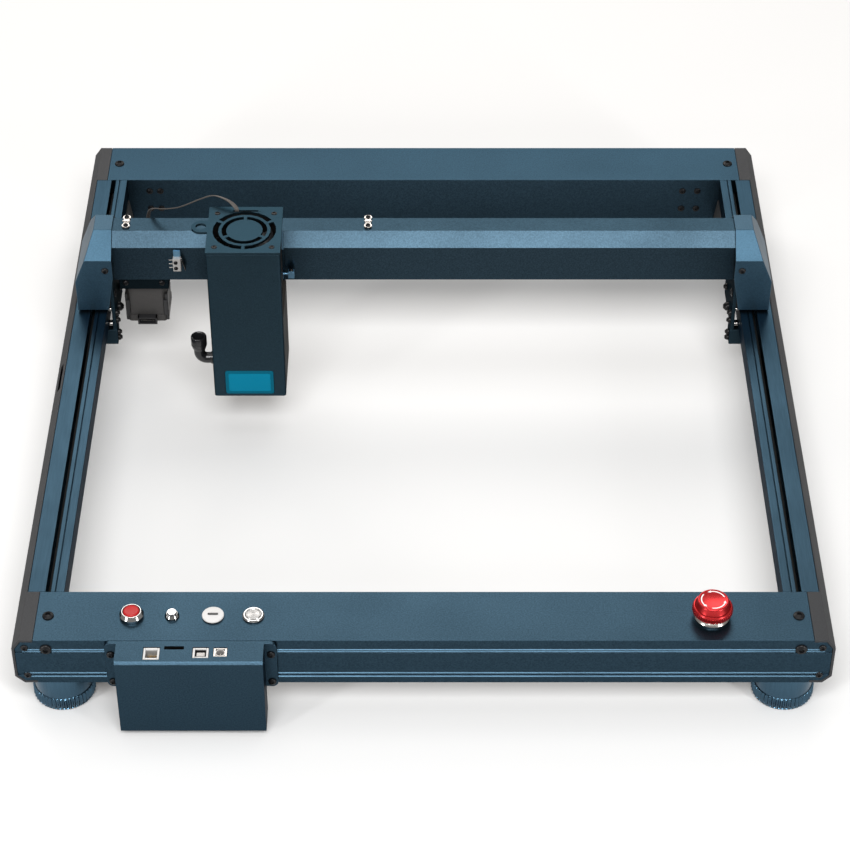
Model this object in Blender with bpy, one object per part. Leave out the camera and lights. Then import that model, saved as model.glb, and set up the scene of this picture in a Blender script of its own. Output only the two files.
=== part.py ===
"""Desktop laser cutter: an open rectangular frame on four feet, a gantry that rolls along the side
rails, and a laser module on a carriage that runs inside the gantry's beam.

X is to the right, Y to the back and Z up. The origin is on the table, under the middle of the machine.
Every length below is in millimetres; MM turns it into the scene's metres.
"""

import math

import bmesh
import bpy
from mathutils import Matrix, Vector

MM = 0.001
GAP = 0.3
LEFT, RIGHT = -1, 1

# Frame: two hollow cross bars joined by two rails, with a folded cover down each side.
BAR_LOW, BAR_TOP = 33.0, 76.0
FRONT_BAR = (-299.7, -249.7)
REAR_BAR = (272.3, 322.3)
BAR_HALF = 280.0
BAR_WALL = 2.2
BAR_HOLLOW_HALF = 284.0
COVER_HALF = 296.0
RAIL_INNER, RAIL_OUTER = 262.5, 289.0
OVERHANG_Z = 58.3
SLOT_INNER, SLOT_OUTER = 272.4, 276.2
SLOT_MIDDLE = (SLOT_INNER + SLOT_OUTER) / 2
FRONT_MIDDLE = sum(FRONT_BAR) / 2
REAR_MIDDLE = sum(REAR_BAR) / 2
FOOT_X = 265.8
FOOT_TOP = BAR_LOW - GAP

# Belt drives: the pitch radius of a 16-tooth pulley, the belt around it, and a plain running fit.
PULLEY_R, FLANGE_R = 5.1, 7.5
BELT_IN, BELT_OUT = 5.4, 6.8
BELT_WIDE = 6.0
SHAFT_R, BORE_R = 2.5, 2.7
DRIVE_Z = 53.1

# Control row on the front bar, from left to right, and the box in front of it.
POWER_X, RESET_X, MODE_X, START_X, STOP_X = -211.0, -181.8, -152.2, -123.0, 208.5
BOX_X = (-220.0, -114.0)
BOX_Y = (-322.3, FRONT_BAR[0] - GAP)
BOX_Z = (6.0, BAR_TOP)
# Each port: middle in X and Y, width and depth, and its hollow's width and depth.
PORTS = {
    "network": ((-193.9, -312.4), (11.4, 11.8), (8.6, 8.0)),
    "card": ((-178.0, -306.9), (13.5, 2.6), (11.5, 1.2)),
    "data": ((-158.8, -311.6), (11.2, 10.0), (8.2, 7.2)),
    "supply": ((-144.8, -311.0), (9.4, 8.3), (6.0, 6.0)),
}

# Gantry: beam, end plates under their covers, and wheels that run in the rails' top slots.
BEAM_HALF = 255.9
BEAM_Y = (92.1, 130.0)
BEAM_Z = (102.2, 144.8)
BEAM_BEVEL = 10.2
BEAM_WALL = 3.0
GANTRY_Y = sum(BEAM_Y) / 2
END_INNER, END_OUTER = 255.0, 286.2
END_Y = (82.3, 139.8)
END_Z = (78.0, 146.8)
END_BEVEL = 18.4
PLATE_X = (256.2, 259.0)
PLATE_LOW = 55.3
GUIDE_Y = (84.6, 99.0)
GANTRY_BACK = 132.0
Y_WHEEL_R = 11.0
Y_WHEEL_Z = BAR_TOP + 10.35
Y_WHEEL_Y = (GANTRY_Y - 14.0, GANTRY_Y + 14.0)
BELT_AXIS_Y = 118.3
MOTOR_X, MOTOR_HALF = -231.5, 17.6
MOTOR_Z = (52.0, 89.8)
X_IDLER_X = 236.0
X_BELT_Z = (124.0, 130.0)
SWITCH_X = (-205.3, -198.8)

# Carriage and laser module.
MODULE_X = -141.3
CARRIAGE_X = (-168.4, -114.2)
X_WHEEL_R = 7.6
X_WHEEL_Z = 110.4
X_WHEELS = {"left": (MODULE_X - 21, 101.7), "right": (MODULE_X + 21, 101.7), "rear": (MODULE_X, 120.4)}
MODULE_HALF = 29.1
MODULE_Y = (12.3, 73.8)
MODULE_Z = (43.8, 189.0)
TOP_THICK = 2.2
FAN_Y = 42.3
LOCK_AXIS = (86.4, 112.6)
ELBOW_X, ELBOW_Y, ELBOW_Z = -183.0, 37.3, 64.0

COLOURS = {
    "anodised_blue": ((0.085, 0.135, 0.18), 0.42, 0.75),
    "grey_cover": ((0.12, 0.12, 0.125), 0.55, 0.3),
    "dark_metal": ((0.06, 0.06, 0.062), 0.5, 0.6),
    "black_plastic": ((0.02, 0.02, 0.022), 0.5, 0.0),
    "black_rubber": ((0.015, 0.015, 0.016), 0.75, 0.0),
    "bright_metal": ((0.62, 0.63, 0.65), 0.25, 1.0),
    "red_plastic": ((0.6, 0.02, 0.02), 0.35, 0.0),
    "white_plastic": ((0.8, 0.8, 0.78), 0.4, 0.0),
    "teal_window": ((0.0, 0.2, 0.33), 0.1, 0.0),
    "circuit_board": ((0.02, 0.12, 0.05), 0.5, 0.0),
    "ribbon_grey": ((0.3, 0.27, 0.26), 0.6, 0.0),
}


def material(name):
    """The named material, made the first time that it is asked for."""
    found = bpy.data.materials.get(name)
    if found:
        return found
    colour, roughness, metallic = COLOURS[name]
    made = bpy.data.materials.new(name)
    made.use_nodes = True
    shader = made.node_tree.nodes["Principled BSDF"]
    shader.inputs["Base Color"].default_value = (*colour, 1.0)
    shader.inputs["Roughness"].default_value = roughness
    shader.inputs["Metallic"].default_value = metallic
    return made


def finished(name, bm, finish):
    """An object from this bmesh, which is in millimetres, with its faces turned out."""
    bmesh.ops.remove_doubles(bm, verts=bm.verts, dist=0.001)
    bmesh.ops.recalc_face_normals(bm, faces=bm.faces)
    bmesh.ops.scale(bm, verts=bm.verts, vec=(MM, MM, MM))
    mesh = bpy.data.meshes.new(name)
    bm.to_mesh(mesh)
    bm.free()
    mesh.materials.append(material(finish))
    obj = bpy.data.objects.new(name, mesh)
    bpy.context.scene.collection.objects.link(obj)
    return obj


def placed(axis, along, u, v):
    """A point from its height along an axis and the two other coordinates, in X, Y, Z order."""
    return {"X": (along, u, v), "Y": (u, along, v), "Z": (u, v, along)}[axis]


def prism(name, outline, axis, low, high, finish="anodised_blue"):
    """A closed outline drawn out between two heights along an axis."""
    bm = bmesh.new()
    base = [bm.verts.new(placed(axis, low, u, v)) for u, v in outline]
    face = bm.faces.new(base)
    grown = bmesh.ops.extrude_face_region(bm, geom=[face])["geom"]
    moved = [g for g in grown if isinstance(g, bmesh.types.BMVert)]
    bmesh.ops.translate(bm, verts=moved, vec=Vector(placed(axis, high - low, 0, 0)))
    return finished(name, bm, finish)


def block(name, low, high, finish="anodised_blue"):
    """A rectangular block between two corners."""
    outline = [(low[0], low[1]), (high[0], low[1]), (high[0], high[1]), (low[0], high[1])]
    return prism(name, outline, "Z", low[2], high[2], finish)


def turned(name, profile, axis, centre, finish="anodised_blue", steps=16):
    """A profile of (radius, height) points turned about an axis through centre.

    A profile that starts and ends on the axis gives a solid, and any other is closed as a ring.
    """
    ring = profile[0][0] > 0 or profile[-1][0] > 0
    edges = len(profile) if ring else len(profile) - 1
    bm = bmesh.new()
    rows = []
    for step in range(steps):
        angle = 2 * math.pi * step / steps
        c, s = math.cos(angle), math.sin(angle)
        points = (placed(axis, h, r * c, r * s) for r, h in profile)
        rows.append([bm.verts.new(Vector(p) + Vector(centre)) for p in points])
    for step in range(steps):
        here, there = rows[step], rows[(step + 1) % steps]
        for k in range(edges):
            n = (k + 1) % len(profile)
            bm.faces.new((here[k], there[k], there[n], here[n]))
    return finished(name, bm, finish)


def rod(name, radius, axis, centre, low, high, finish="anodised_blue", steps=16):
    """A plain round rod between two heights along an axis."""
    return turned(name, [(0, low), (radius, low), (radius, high), (0, high)], axis, centre, finish, steps)


def arc(centre, radius, start, end, steps):
    """Points along an arc, in degrees, both ends included."""
    turns = (math.radians(start + (end - start) * k / steps) for k in range(steps + 1))
    return [(centre[0] + radius * math.cos(a), centre[1] + radius * math.sin(a)) for a in turns]


def rounded(u, v, radius, steps=4):
    """A rectangle's outline with round corners, from its two spans."""
    corners = ((u[1], v[1], 0), (u[0], v[1], 90), (u[0], v[0], 180), (u[1], v[0], 270))
    points = []
    for cu, cv, start in corners:
        middle = (cu - math.copysign(radius, cu - sum(u) / 2), cv - math.copysign(radius, cv - sum(v) / 2))
        points += arc(middle, radius, start, start + 90, steps)
    return points


def merge_near(mesh):
    """Join the points that a cut left closer together than a micrometre."""
    bm = bmesh.new()
    bm.from_mesh(mesh)
    bmesh.ops.remove_doubles(bm, verts=bm.verts, dist=0.001 * MM)
    bm.to_mesh(mesh)
    bm.free()


def combined(obj, others, operation="DIFFERENCE"):
    """obj with the others cut from it, joined to it or kept in common with it; the others go."""
    for other in others:
        step = obj.modifiers.new(other.name, "BOOLEAN")
        step.operation = operation
        step.object = other
        graph = bpy.context.evaluated_depsgraph_get()
        before = obj.data
        obj.data = bpy.data.meshes.new_from_object(obj.evaluated_get(graph))
        obj.modifiers.clear()
        merge_near(obj.data)
        obj.data.name = obj.name
        bpy.data.meshes.remove(before)
        bpy.data.objects.remove(other)
    return obj


def joined(obj, others):
    return combined(obj, others, "UNION")


def shared(obj, other):
    return combined(obj, [other], "INTERSECT")


def pivoted(obj, pivot):
    """obj with its origin moved to its joint's axis."""
    origin = Vector(pivot) * MM
    obj.data.transform(Matrix.Translation(-origin))
    obj.location = origin
    return obj


def both(side, outline):
    """An outline drawn for the right side, mirrored for the left."""
    return [(side * u, v) for u, v in outline]


def span(side, low, high):
    """An X span of the right side, mirrored for the left and in rising order."""
    return tuple(sorted((side * low, side * high)))


def side_name(side):
    return "left" if side == LEFT else "right"


# ---------------------------------------------------------------- frame


def bar_outline():
    """The cross bars' section, stepped in at both ends to go inside the side covers."""
    shoulder, wall = BAR_TOP - BAR_WALL, BAR_LOW + BAR_WALL
    right = [
        (BAR_HALF, BAR_LOW), (BAR_HALF, wall), (288.6, wall), (293.8, 40.4),
        (293.8, 67.3), (289.2, shoulder), (BAR_HALF, shoulder), (BAR_HALF, BAR_TOP),
    ]
    return right + [(-x, z) for x, z in reversed(right)]


def belt_window(side, wall_y):
    """The cutter for the window that a belt passes through, in the wall at this Y."""
    low, high = span(side, 269.5, 279.0)
    return block("belt_window", (low, wall_y - 3, 44.0), (high, wall_y + 3, 62.0))


def face_grooves(face_y):
    """Cutters for the two long decorative grooves in a bar's outer face."""
    return [
        block("face_groove", (-300, face_y - 0.9, low), (300, face_y + 0.9, high))
        for low, high in ((62.9, 66.4), (40.4, 43.9))
    ]


def front_bar():
    bar = prism("front_bar", bar_outline(), "Y", *FRONT_BAR)
    low, high = FRONT_BAR[0] + BAR_WALL, FRONT_BAR[1] - BAR_WALL
    hollow_z = (BAR_LOW + BAR_WALL, BAR_TOP - BAR_WALL)
    cutters = [
        block("hollow", (-BAR_HOLLOW_HALF, low, hollow_z[0]), (BAR_HOLLOW_HALF, high, hollow_z[1])),
        *face_grooves(FRONT_BAR[0]),
        *(belt_window(side, FRONT_BAR[1]) for side in (LEFT, RIGHT)),
    ]
    holes = ((POWER_X, 8.1), (RESET_X, 4.3), (MODE_X, 6.3), (START_X, 6.6), (STOP_X, 8.4))
    cutters += [
        rod("button_hole", radius, "Z", (x, FRONT_MIDDLE, 0), BAR_TOP - 8, BAR_TOP + 5)
        for x, radius in holes
    ]
    combined(bar, cutters)
    pins = [
        rod("idler_pin", SHAFT_R, "X", (0, FRONT_MIDDLE, DRIVE_Z), *span(side, 268.5, BAR_HOLLOW_HALF + 2))
        for side in (LEFT, RIGHT)
    ]
    return joined(bar, pins)


def rear_bar():
    bar = prism("rear_bar", bar_outline(), "Y", *REAR_BAR)
    low, high = REAR_BAR[0] + BAR_WALL, REAR_BAR[1] - BAR_WALL
    hollow_z = (BAR_LOW + BAR_WALL, BAR_TOP - BAR_WALL)
    cutters = [
        block("hollow", (-BAR_HOLLOW_HALF, low, hollow_z[0]), (BAR_HOLLOW_HALF, high, hollow_z[1])),
        *face_grooves(REAR_BAR[1]),
        *(belt_window(side, REAR_BAR[0]) for side in (LEFT, RIGHT)),
        rod("shaft_seats", BORE_R, "X", (0, REAR_MIDDLE, DRIVE_Z), -289.0, 289.0),
    ]
    return combined(bar, cutters)


def rail(side):
    """A hollow rail: the running slot is in its top, whose inner edge overhangs the guide blocks."""
    wall = 2.2
    foot = 268.0
    top, low = BAR_TOP - wall, BAR_LOW + wall
    outer, inner = RAIL_OUTER - wall, RAIL_INNER + wall
    outline = [
        (SLOT_INNER, BAR_TOP), (269.3, BAR_TOP), (269.3, BAR_TOP - 1), (268.6, BAR_TOP - 1),
        (268.6, BAR_TOP), (RAIL_INNER, BAR_TOP), (RAIL_INNER, OVERHANG_Z), (foot, OVERHANG_Z),
        (foot, BAR_LOW), (RAIL_OUTER, BAR_LOW), (RAIL_OUTER, BAR_TOP), (SLOT_OUTER, BAR_TOP),
        (SLOT_OUTER, top), (outer, top), (outer, low), (foot + wall, low),
        (foot + wall, OVERHANG_Z + wall), (inner, OVERHANG_Z + wall), (inner, top), (SLOT_INNER, top),
    ]
    name = side_name(side) + "_rail"
    return prism(name, both(side, outline), "Y", FRONT_BAR[1] + GAP, REAR_BAR[0] - GAP)


def side_cover(side):
    """A folded strip: it caps both bars' ends and closes the rail's outer side."""
    outline = [
        (280.3, BAR_TOP), (290.3, BAR_TOP), (COVER_HALF, 68.0), (COVER_HALF, 39.5),
        (289.5, BAR_LOW), (280.3, BAR_LOW), (280.3, 34.9), (288.7, 34.9),
        (294.1, 40.3), (294.1, 67.4), (289.4, 74.1), (280.3, 74.1),
    ]
    name = side_name(side) + "_side_cover"
    cover = prism(name, both(side, outline), "Y", FRONT_BAR[0], REAR_BAR[1], "grey_cover")
    low, high = span(side, 270.0, RAIL_OUTER + GAP)
    cutters = [block("rail_clearance", (low, FRONT_BAR[1], 20.0), (high, REAR_BAR[0], 90.0))]
    if side == LEFT:
        cutters.append(block("strap_slot", (-293.6, -15.7, 60.0), (-291.2, 16.3, 80.0)))
    return combined(cover, cutters)


def foot(side, y, name):
    """A turned foot: a broad knurled ring on the table and a plain neck under the bar."""
    profile = [
        (0, 0), (22.2, 0), (23.0, 1.0), (23.0, 9.4), (22.2, 10.2), (21.5, 10.2),
        (21.5, FOOT_TOP), (0, FOOT_TOP),
    ]
    return turned(name, profile, "Z", (side * FOOT_X, y, 0), steps=24)


def end_stop(side):
    """A rubber wedge in the corner under a rail's overhang, where the guide block ends its travel."""
    outline = [(262.4, 54.5), (263.6, 54.5), (266.5, 34.5), (259.5, 34.5)]
    low, high = GUIDE_Y[1] + GANTRY_BACK + GAP, REAR_BAR[0] - GAP
    return prism("end_stop_" + side_name(side), both(side, outline), "Y", low, high, "black_rubber")


# ---------------------------------------------------------------- controls


def control_box():
    """The shell in front of the bar, open at its back, with an ear at each side."""
    low, high = BOX_Z
    front, back = BOX_Y
    section = [(back, low), (front, low), (front, high - 2), (front + 2, high), (back, high)]
    box = prism("control_box", section, "X", *BOX_X)
    ears = [
        prism("ear", rounded((BOX_X[0] - 8.8, BOX_X[0] + 4), (32.5, high), 4.0), "Y", back - 3, back),
        prism("ear", rounded((BOX_X[1] - 4, BOX_X[1] + 8.8), (32.5, high), 4.0), "Y", back - 3, back),
    ]
    joined(box, ears)
    inside = block("inside", (BOX_X[0] + 2, front + 2, low + 2), (BOX_X[1] - 2, back + 2, high - 2))
    cutters = [inside]
    for (x, y), (wide, deep), _ in PORTS.values():
        half_x, half_y = wide / 2 + GAP, deep / 2 + GAP
        corner = (x - half_x, y - half_y, high - 6)
        cutters.append(block("port_hole", corner, (x + half_x, y + half_y, high + 4)))
    return combined(box, cutters)


def control_board():
    """The circuit board with its four sockets, which face up through the box's top."""
    board = block("control_board", (-214.0, -303.7, 12.0), (-120.0, -302.0, 70.0), "circuit_board")
    sockets, hollows = [], []
    top = BOX_Z[1] - GAP
    for (x, y), (wide, deep), (hollow_wide, hollow_deep) in PORTS.values():
        low = (x - wide / 2, y - deep / 2, top - 17)
        sockets.append(block("socket", low, (x + wide / 2, y + deep / 2, top)))
        leg_low = (x - wide / 3, y, top - 16)
        sockets.append(block("socket_leg", leg_low, (x + wide / 3, -303.0, top - 8)))
        hollow_low = (x - hollow_wide / 2, y - hollow_deep / 2, top - 12)
        hollow_high = (x + hollow_wide / 2, y + hollow_deep / 2, top + 2)
        hollows.append(block("socket_hollow", hollow_low, hollow_high))
    joined(board, sockets)
    return combined(board, hollows)


def bezel(name, x, flange, ring, barrel, bore, finish="bright_metal"):
    """A button's fixed body: flange on the bar, raised ring and barrel, with a bore from the top.

    flange and ring are (radius, top above the bar).
    """
    base = BAR_TOP + GAP
    profile = [
        (bore, BAR_TOP + ring[1]), (ring[0], BAR_TOP + ring[1]), (ring[0], BAR_TOP + flange[1]),
        (flange[0], BAR_TOP + flange[1]), (flange[0], base), (barrel, base),
        (barrel, BAR_TOP - 18), (bore, BAR_TOP - 18),
    ]
    return turned(name, profile, "Z", (x, FRONT_MIDDLE, 0), finish)


def button(name, x, radius, top, bottom, finish):
    """A plain button cap that slides in its bezel, with a small edge round its top."""
    profile = [(0, BAR_TOP + bottom), (radius, BAR_TOP + bottom), (radius, BAR_TOP + top - 0.5)]
    profile += [(radius - 0.5, BAR_TOP + top), (0, BAR_TOP + top)]
    cap = turned(name, profile, "Z", (x, FRONT_MIDDLE, 0), finish)
    return pivoted(cap, (x, FRONT_MIDDLE, BAR_TOP))


def mode_switch():
    """A round selector with a raised bar across it, which turns in the bar's hole."""
    centre = (MODE_X, FRONT_MIDDLE, 0)
    base = BAR_TOP + GAP
    profile = [
        (0, BAR_TOP - 14), (6.0, BAR_TOP - 14), (6.0, base), (7.95, base),
        (7.95, BAR_TOP + 1.4), (7.2, BAR_TOP + 2.0), (0, BAR_TOP + 2.0),
    ]
    switch = turned("mode_switch", profile, "Z", centre, "white_plastic")
    low = (MODE_X - 3.85, FRONT_MIDDLE - 0.85, BAR_TOP + 1)
    high = (MODE_X + 3.85, FRONT_MIDDLE + 0.85, BAR_TOP + 2.9)
    joined(switch, [block("grip", low, high)])
    return pivoted(switch, (MODE_X, FRONT_MIDDLE, BAR_TOP))


def stop_base():
    profile = [
        (5.5, BAR_TOP + 4), (13.0, BAR_TOP + 4), (13.3, BAR_TOP + GAP), (8.1, BAR_TOP + GAP),
        (8.1, BAR_TOP - 20), (5.5, BAR_TOP - 20),
    ]
    return turned("stop_base", profile, "Z", (STOP_X, FRONT_MIDDLE, 0), "bright_metal", 24)


def stop_head():
    """The emergency stop's mushroom: a skirt that comes down over its base, on a stem."""
    z = BAR_TOP
    profile = [
        (0, z - 16), (5.0, z - 16), (5.0, z + 8.6), (13.6, z + 8.6), (13.6, z + 5.6), (14.7, z + 5.6),
        (14.7, z + 10.4), (13.6, z + 11.0), (12.9, z + 10.0), (10.9, z + 16.0), (10.3, z + 16.5),
        (0, z + 16.5),
    ]
    head = turned("stop_head", profile, "Z", (STOP_X, FRONT_MIDDLE, 0), "red_plastic", 24)
    return pivoted(head, (STOP_X, FRONT_MIDDLE, BAR_TOP))


# ---------------------------------------------------------------- drives


def pulley_profile(middle, bore):
    """A flanged pulley's outline about its axis; bore 0 leaves the inner edge to the caller."""
    half = BELT_WIDE / 2 + GAP
    low, high = middle - half, middle + half
    return [
        (bore, low - 1.2), (FLANGE_R, low - 1.2), (FLANGE_R, low), (PULLEY_R, low),
        (PULLEY_R, high), (FLANGE_R, high), (FLANGE_R, high + 1.2), (bore, high + 1.2),
    ]


def belt(name, axis, ends, across, low, high):
    """A closed flat belt round two pulleys at the given ends, drawn out along its axis."""
    def loop(radius):
        first, last = ends
        return arc((last, across), radius, -90, 90, 10) + arc((first, across), radius, 90, 270, 10)

    band = prism(name, loop(BELT_OUT), axis, low, high, "black_rubber")
    return combined(band, [prism("belt_inside", loop(BELT_IN), axis, low - 1, high + 1)])


def y_belt(side):
    low, high = span(side, SLOT_MIDDLE - BELT_WIDE / 2, SLOT_MIDDLE + BELT_WIDE / 2)
    return belt("y_belt_" + side_name(side), "X", (FRONT_MIDDLE, REAR_MIDDLE), DRIVE_Z, low, high)


def y_idler(side):
    pulley = turned(
        "y_idler_" + side_name(side), pulley_profile(side * SLOT_MIDDLE, BORE_R), "X",
        (0, FRONT_MIDDLE, DRIVE_Z), "bright_metal",
    )
    return pivoted(pulley, (side * SLOT_MIDDLE, FRONT_MIDDLE, DRIVE_Z))


def y_drive_shaft():
    """One shaft through the motor, with a pulley near each end."""
    end = 288.0
    profile = [(0, -end), (SHAFT_R, -end)]
    profile += pulley_profile(-SLOT_MIDDLE, SHAFT_R) + pulley_profile(SLOT_MIDDLE, SHAFT_R)
    profile += [(SHAFT_R, end), (0, end)]
    shaft = turned("y_drive_shaft", profile, "X", (0, REAR_MIDDLE, DRIVE_Z), "bright_metal")
    return pivoted(shaft, (0, REAR_MIDDLE, DRIVE_Z))


def chamfered_square(centre, half, cut):
    """A square's outline with its corners cut off, as on a stepper motor."""
    a, b = half, half - cut
    points = [(a, -b), (a, b), (b, a), (-b, a), (-a, b), (-a, -b), (-b, -a), (b, -a)]
    return [(centre[0] + u, centre[1] + v) for u, v in points]


def y_motor():
    outline = chamfered_square((REAR_MIDDLE, DRIVE_Z), 17.6, 3.0)
    motor = prism("y_motor", outline, "X", -18.0, 18.0, "dark_metal")
    return combined(motor, [rod("bore", BORE_R + 0.1, "X", (0, REAR_MIDDLE, DRIVE_Z), -30, 30)])


# ---------------------------------------------------------------- gantry


def x_beam():
    """A channel open at the bottom, with a wheel groove in each wall and the idler's pin inside."""
    front, back = BEAM_Y
    low, top = BEAM_Z
    shoulder = top - BEAM_BEVEL
    inner_front, inner_back = front + BEAM_WALL, back - BEAM_WALL
    groove, depth = 2.3, 1.8
    slope = BEAM_WALL * math.tan(math.radians(22.5))
    inner_shoulder, inner_top = shoulder - slope, top - BEAM_WALL
    run = inner_top - inner_shoulder
    outline = [
        (front, low), (front, shoulder), (front + BEAM_BEVEL, top), (back - BEAM_BEVEL, top),
        (back, shoulder), (back, low), (inner_back, low), (inner_back, X_WHEEL_Z - groove),
        (inner_back + depth - 0.6, X_WHEEL_Z - groove), (inner_back + depth - 0.6, X_WHEEL_Z + groove),
        (inner_back, X_WHEEL_Z + groove), (inner_back, inner_shoulder), (inner_back - run, inner_top),
        (inner_front + run, inner_top), (inner_front, inner_shoulder), (inner_front, X_WHEEL_Z + groove),
        (inner_front - depth + 0.6, X_WHEEL_Z + groove), (inner_front - depth + 0.6, X_WHEEL_Z - groove),
        (inner_front, X_WHEEL_Z - groove), (inner_front, low),
    ]
    beam = prism("x_beam", outline, "X", -BEAM_HALF, BEAM_HALF)
    pin = rod("idler_pin", SHAFT_R, "Z", (X_IDLER_X, BELT_AXIS_Y, 0), X_BELT_Z[0] - 3, top - 1)
    return joined(beam, [pin])


def end_outline(inset, low):
    """An end cover's front-to-back section, drawn in from its outer faces by the sheet's inset."""
    front, back = END_Y[0] + inset, END_Y[1] - inset
    top = END_Z[1] - inset
    bevel = END_BEVEL - inset * (2 - math.sqrt(2))
    return [
        (front, low), (front, top - bevel), (front + bevel, top),
        (back - bevel, top), (back, top - bevel), (back, low),
    ]


def gantry_cover(side):
    """A folded cover over a carriage plate and its wheels, open below and on its inner side."""
    low, top = END_Z
    sheet = 1.6
    name = "gantry_cover_" + side_name(side)
    cover = prism(name, end_outline(0, low), "X", *span(side, END_INNER, END_OUTER))
    across = [
        (END_INNER, 110.0), (END_INNER, top + 1), (270.0, top + 1), (270.0, top), (END_OUTER, 107.0),
        (END_OUTER, low - 1), (260.8, low - 1), (260.8, low),
    ]
    shared(cover, prism("across", both(side, across), "Y", END_Y[0] - 5, END_Y[1] + 5))
    slope = (END_OUTER - 270.0) / (top - 107.0)
    inner_outer = END_OUTER - sheet
    inner_top = top - sheet
    peak = inner_outer - slope * (inner_top - 107.0) - 0.2
    inside = prism("inside", end_outline(sheet, low - 5), "X", *span(side, 250.0, END_OUTER))
    room = [(250.0, low - 5), (250.0, inner_top + 1), (peak, inner_top + 1), (inner_outer, 106.6)]
    room.append((inner_outer, low - 5))
    shared(inside, prism("room", both(side, room), "Y", END_Y[0], END_Y[1]))
    return combined(cover, [inside])


def gantry_plate(side):
    """The upright plate at a gantry end, with two wheel axles and the tongue to its belt."""
    outline = end_outline(2.3, PLATE_LOW)
    plate = prism("gantry_plate_" + side_name(side), outline, "X", *span(side, *PLATE_X))
    axles = [
        rod("axle", SHAFT_R, "X", (0, y, Y_WHEEL_Z), *span(side, PLATE_X[0] + 1, 279.4))
        for y in Y_WHEEL_Y
    ]
    arm_low, arm_high = span(side, PLATE_X[0] + 1, 275.2)
    tongue_low, tongue_high = span(side, SLOT_MIDDLE - 1, SLOT_MIDDLE + 1)
    belt_top = DRIVE_Z + BELT_OUT + GAP
    tongue = [
        block("arm", (arm_low, GANTRY_Y - 2.2, 79.0), (arm_high, GANTRY_Y + 2.2, 86.0)),
        block("tongue", (tongue_low, GANTRY_Y - 2.2, belt_top), (tongue_high, GANTRY_Y + 2.2, 80.0)),
    ]
    return joined(plate, axles + tongue)


def guide_block(side):
    """The block under a gantry plate, which hooks beneath the rail's overhang."""
    low, top, hook_top = 40.0, PLATE_LOW - GAP, OVERHANG_Z - 0.6
    outline = [
        (256.0, low), (267.4, low), (267.4, hook_top), (263.0, hook_top), (263.0, top), (256.0, top),
    ]
    name = "guide_block_" + side_name(side)
    return prism(name, both(side, outline), "Y", GUIDE_Y[0], GUIDE_Y[1])


def wheel_profile(radius, middle, half, bore):
    """A guide wheel's outline: a narrow crown between two 45-degree shoulders, and its bore."""
    crown = 1.1
    drop = half - crown
    return [
        (bore, middle - half), (radius - drop, middle - half), (radius, middle - crown),
        (radius, middle + crown), (radius - drop, middle + half), (bore, middle + half),
    ]


def y_wheel(side, y, name):
    profile = wheel_profile(Y_WHEEL_R, side * SLOT_MIDDLE, 4.0, BORE_R)
    wheel = turned(name, profile, "X", (0, y, Y_WHEEL_Z), "black_rubber", 20)
    return pivoted(wheel, (side * SLOT_MIDDLE, y, Y_WHEEL_Z))


def x_motor():
    """The square stepper under the beam's left end, shaft up, with its socket at the lower front."""
    low, top = MOTOR_Z
    outline = chamfered_square((MOTOR_X, BELT_AXIS_Y), MOTOR_HALF, 3.4)
    motor = prism("x_motor", outline, "Z", low, top, "dark_metal")
    front = BELT_AXIS_Y - MOTOR_HALF
    added = [
        rod("boss", 11.0, "Z", (MOTOR_X, BELT_AXIS_Y, 0), top - 1, top + 1.6),
        block("socket", (MOTOR_X - 8, front - 4.5, low), (MOTOR_X + 8, front + 1, low + 7)),
    ]
    joined(motor, added)
    return combined(motor, [rod("bore", BORE_R + 0.1, "Z", (MOTOR_X, BELT_AXIS_Y, 0), 78, top + 3)])


def motor_bracket():
    """A channel that hangs the motor from the beam: a shelf with a tab inside each beam wall."""
    low, high = MOTOR_Z[1] + GAP, 107.0
    sheet = 2.6
    left, right = MOTOR_X - 20.3, MOTOR_X + 20.3
    front, rear = BEAM_Y[0] + BEAM_WALL + GAP, BEAM_Y[1] - BEAM_WALL - GAP
    shelf = block("motor_bracket", (left, front, low), (right, 136.0, low + sheet))
    tabs = [
        block("tab", (left, front, low + 1), (right, front + sheet, high)),
        block("tab", (left, rear - sheet, low + 1), (right, rear, high)),
    ]
    joined(shelf, tabs)
    return combined(shelf, [rod("opening", 11.4, "Z", (MOTOR_X, BELT_AXIS_Y, 0), low - 5, low + 9)])


def x_drive_pulley():
    """The motor's shaft with its pulley, inside the beam."""
    middle = sum(X_BELT_Z) / 2
    flanged = pulley_profile(middle, SHAFT_R)
    profile = [(0, 80.0), (SHAFT_R, 80.0), *flanged, (SHAFT_R, middle + 6), (0, middle + 6)]
    pulley = turned("x_drive_pulley", profile, "Z", (MOTOR_X, BELT_AXIS_Y, 0), "bright_metal")
    return pivoted(pulley, (MOTOR_X, BELT_AXIS_Y, middle))


def x_idler_pulley():
    middle = sum(X_BELT_Z) / 2
    profile = pulley_profile(middle, BORE_R)
    pulley = turned("x_idler_pulley", profile, "Z", (X_IDLER_X, BELT_AXIS_Y, 0), "bright_metal")
    return pivoted(pulley, (X_IDLER_X, BELT_AXIS_Y, middle))


def limit_switch():
    """The carriage's limit switch: a small box on a tab against the beam, with three terminals."""
    low_x, high_x = SWITCH_X
    back = BEAM_Y[0] - GAP
    switch = block("limit_switch", (low_x, 86.0, 115.0), (high_x, back, 127.4), "dark_metal")
    tab = block("tab", (low_x + 0.6, back - 1.6, 126.0), (high_x - 0.3, back, 133.4))
    pins = [
        block("terminal", (low_x - 3.4, 88.4, z), (low_x + 1, 89.2, z + 0.8))
        for z in (117.0, 120.8, 124.6)
    ]
    return joined(switch, [tab, *pins])


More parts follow.
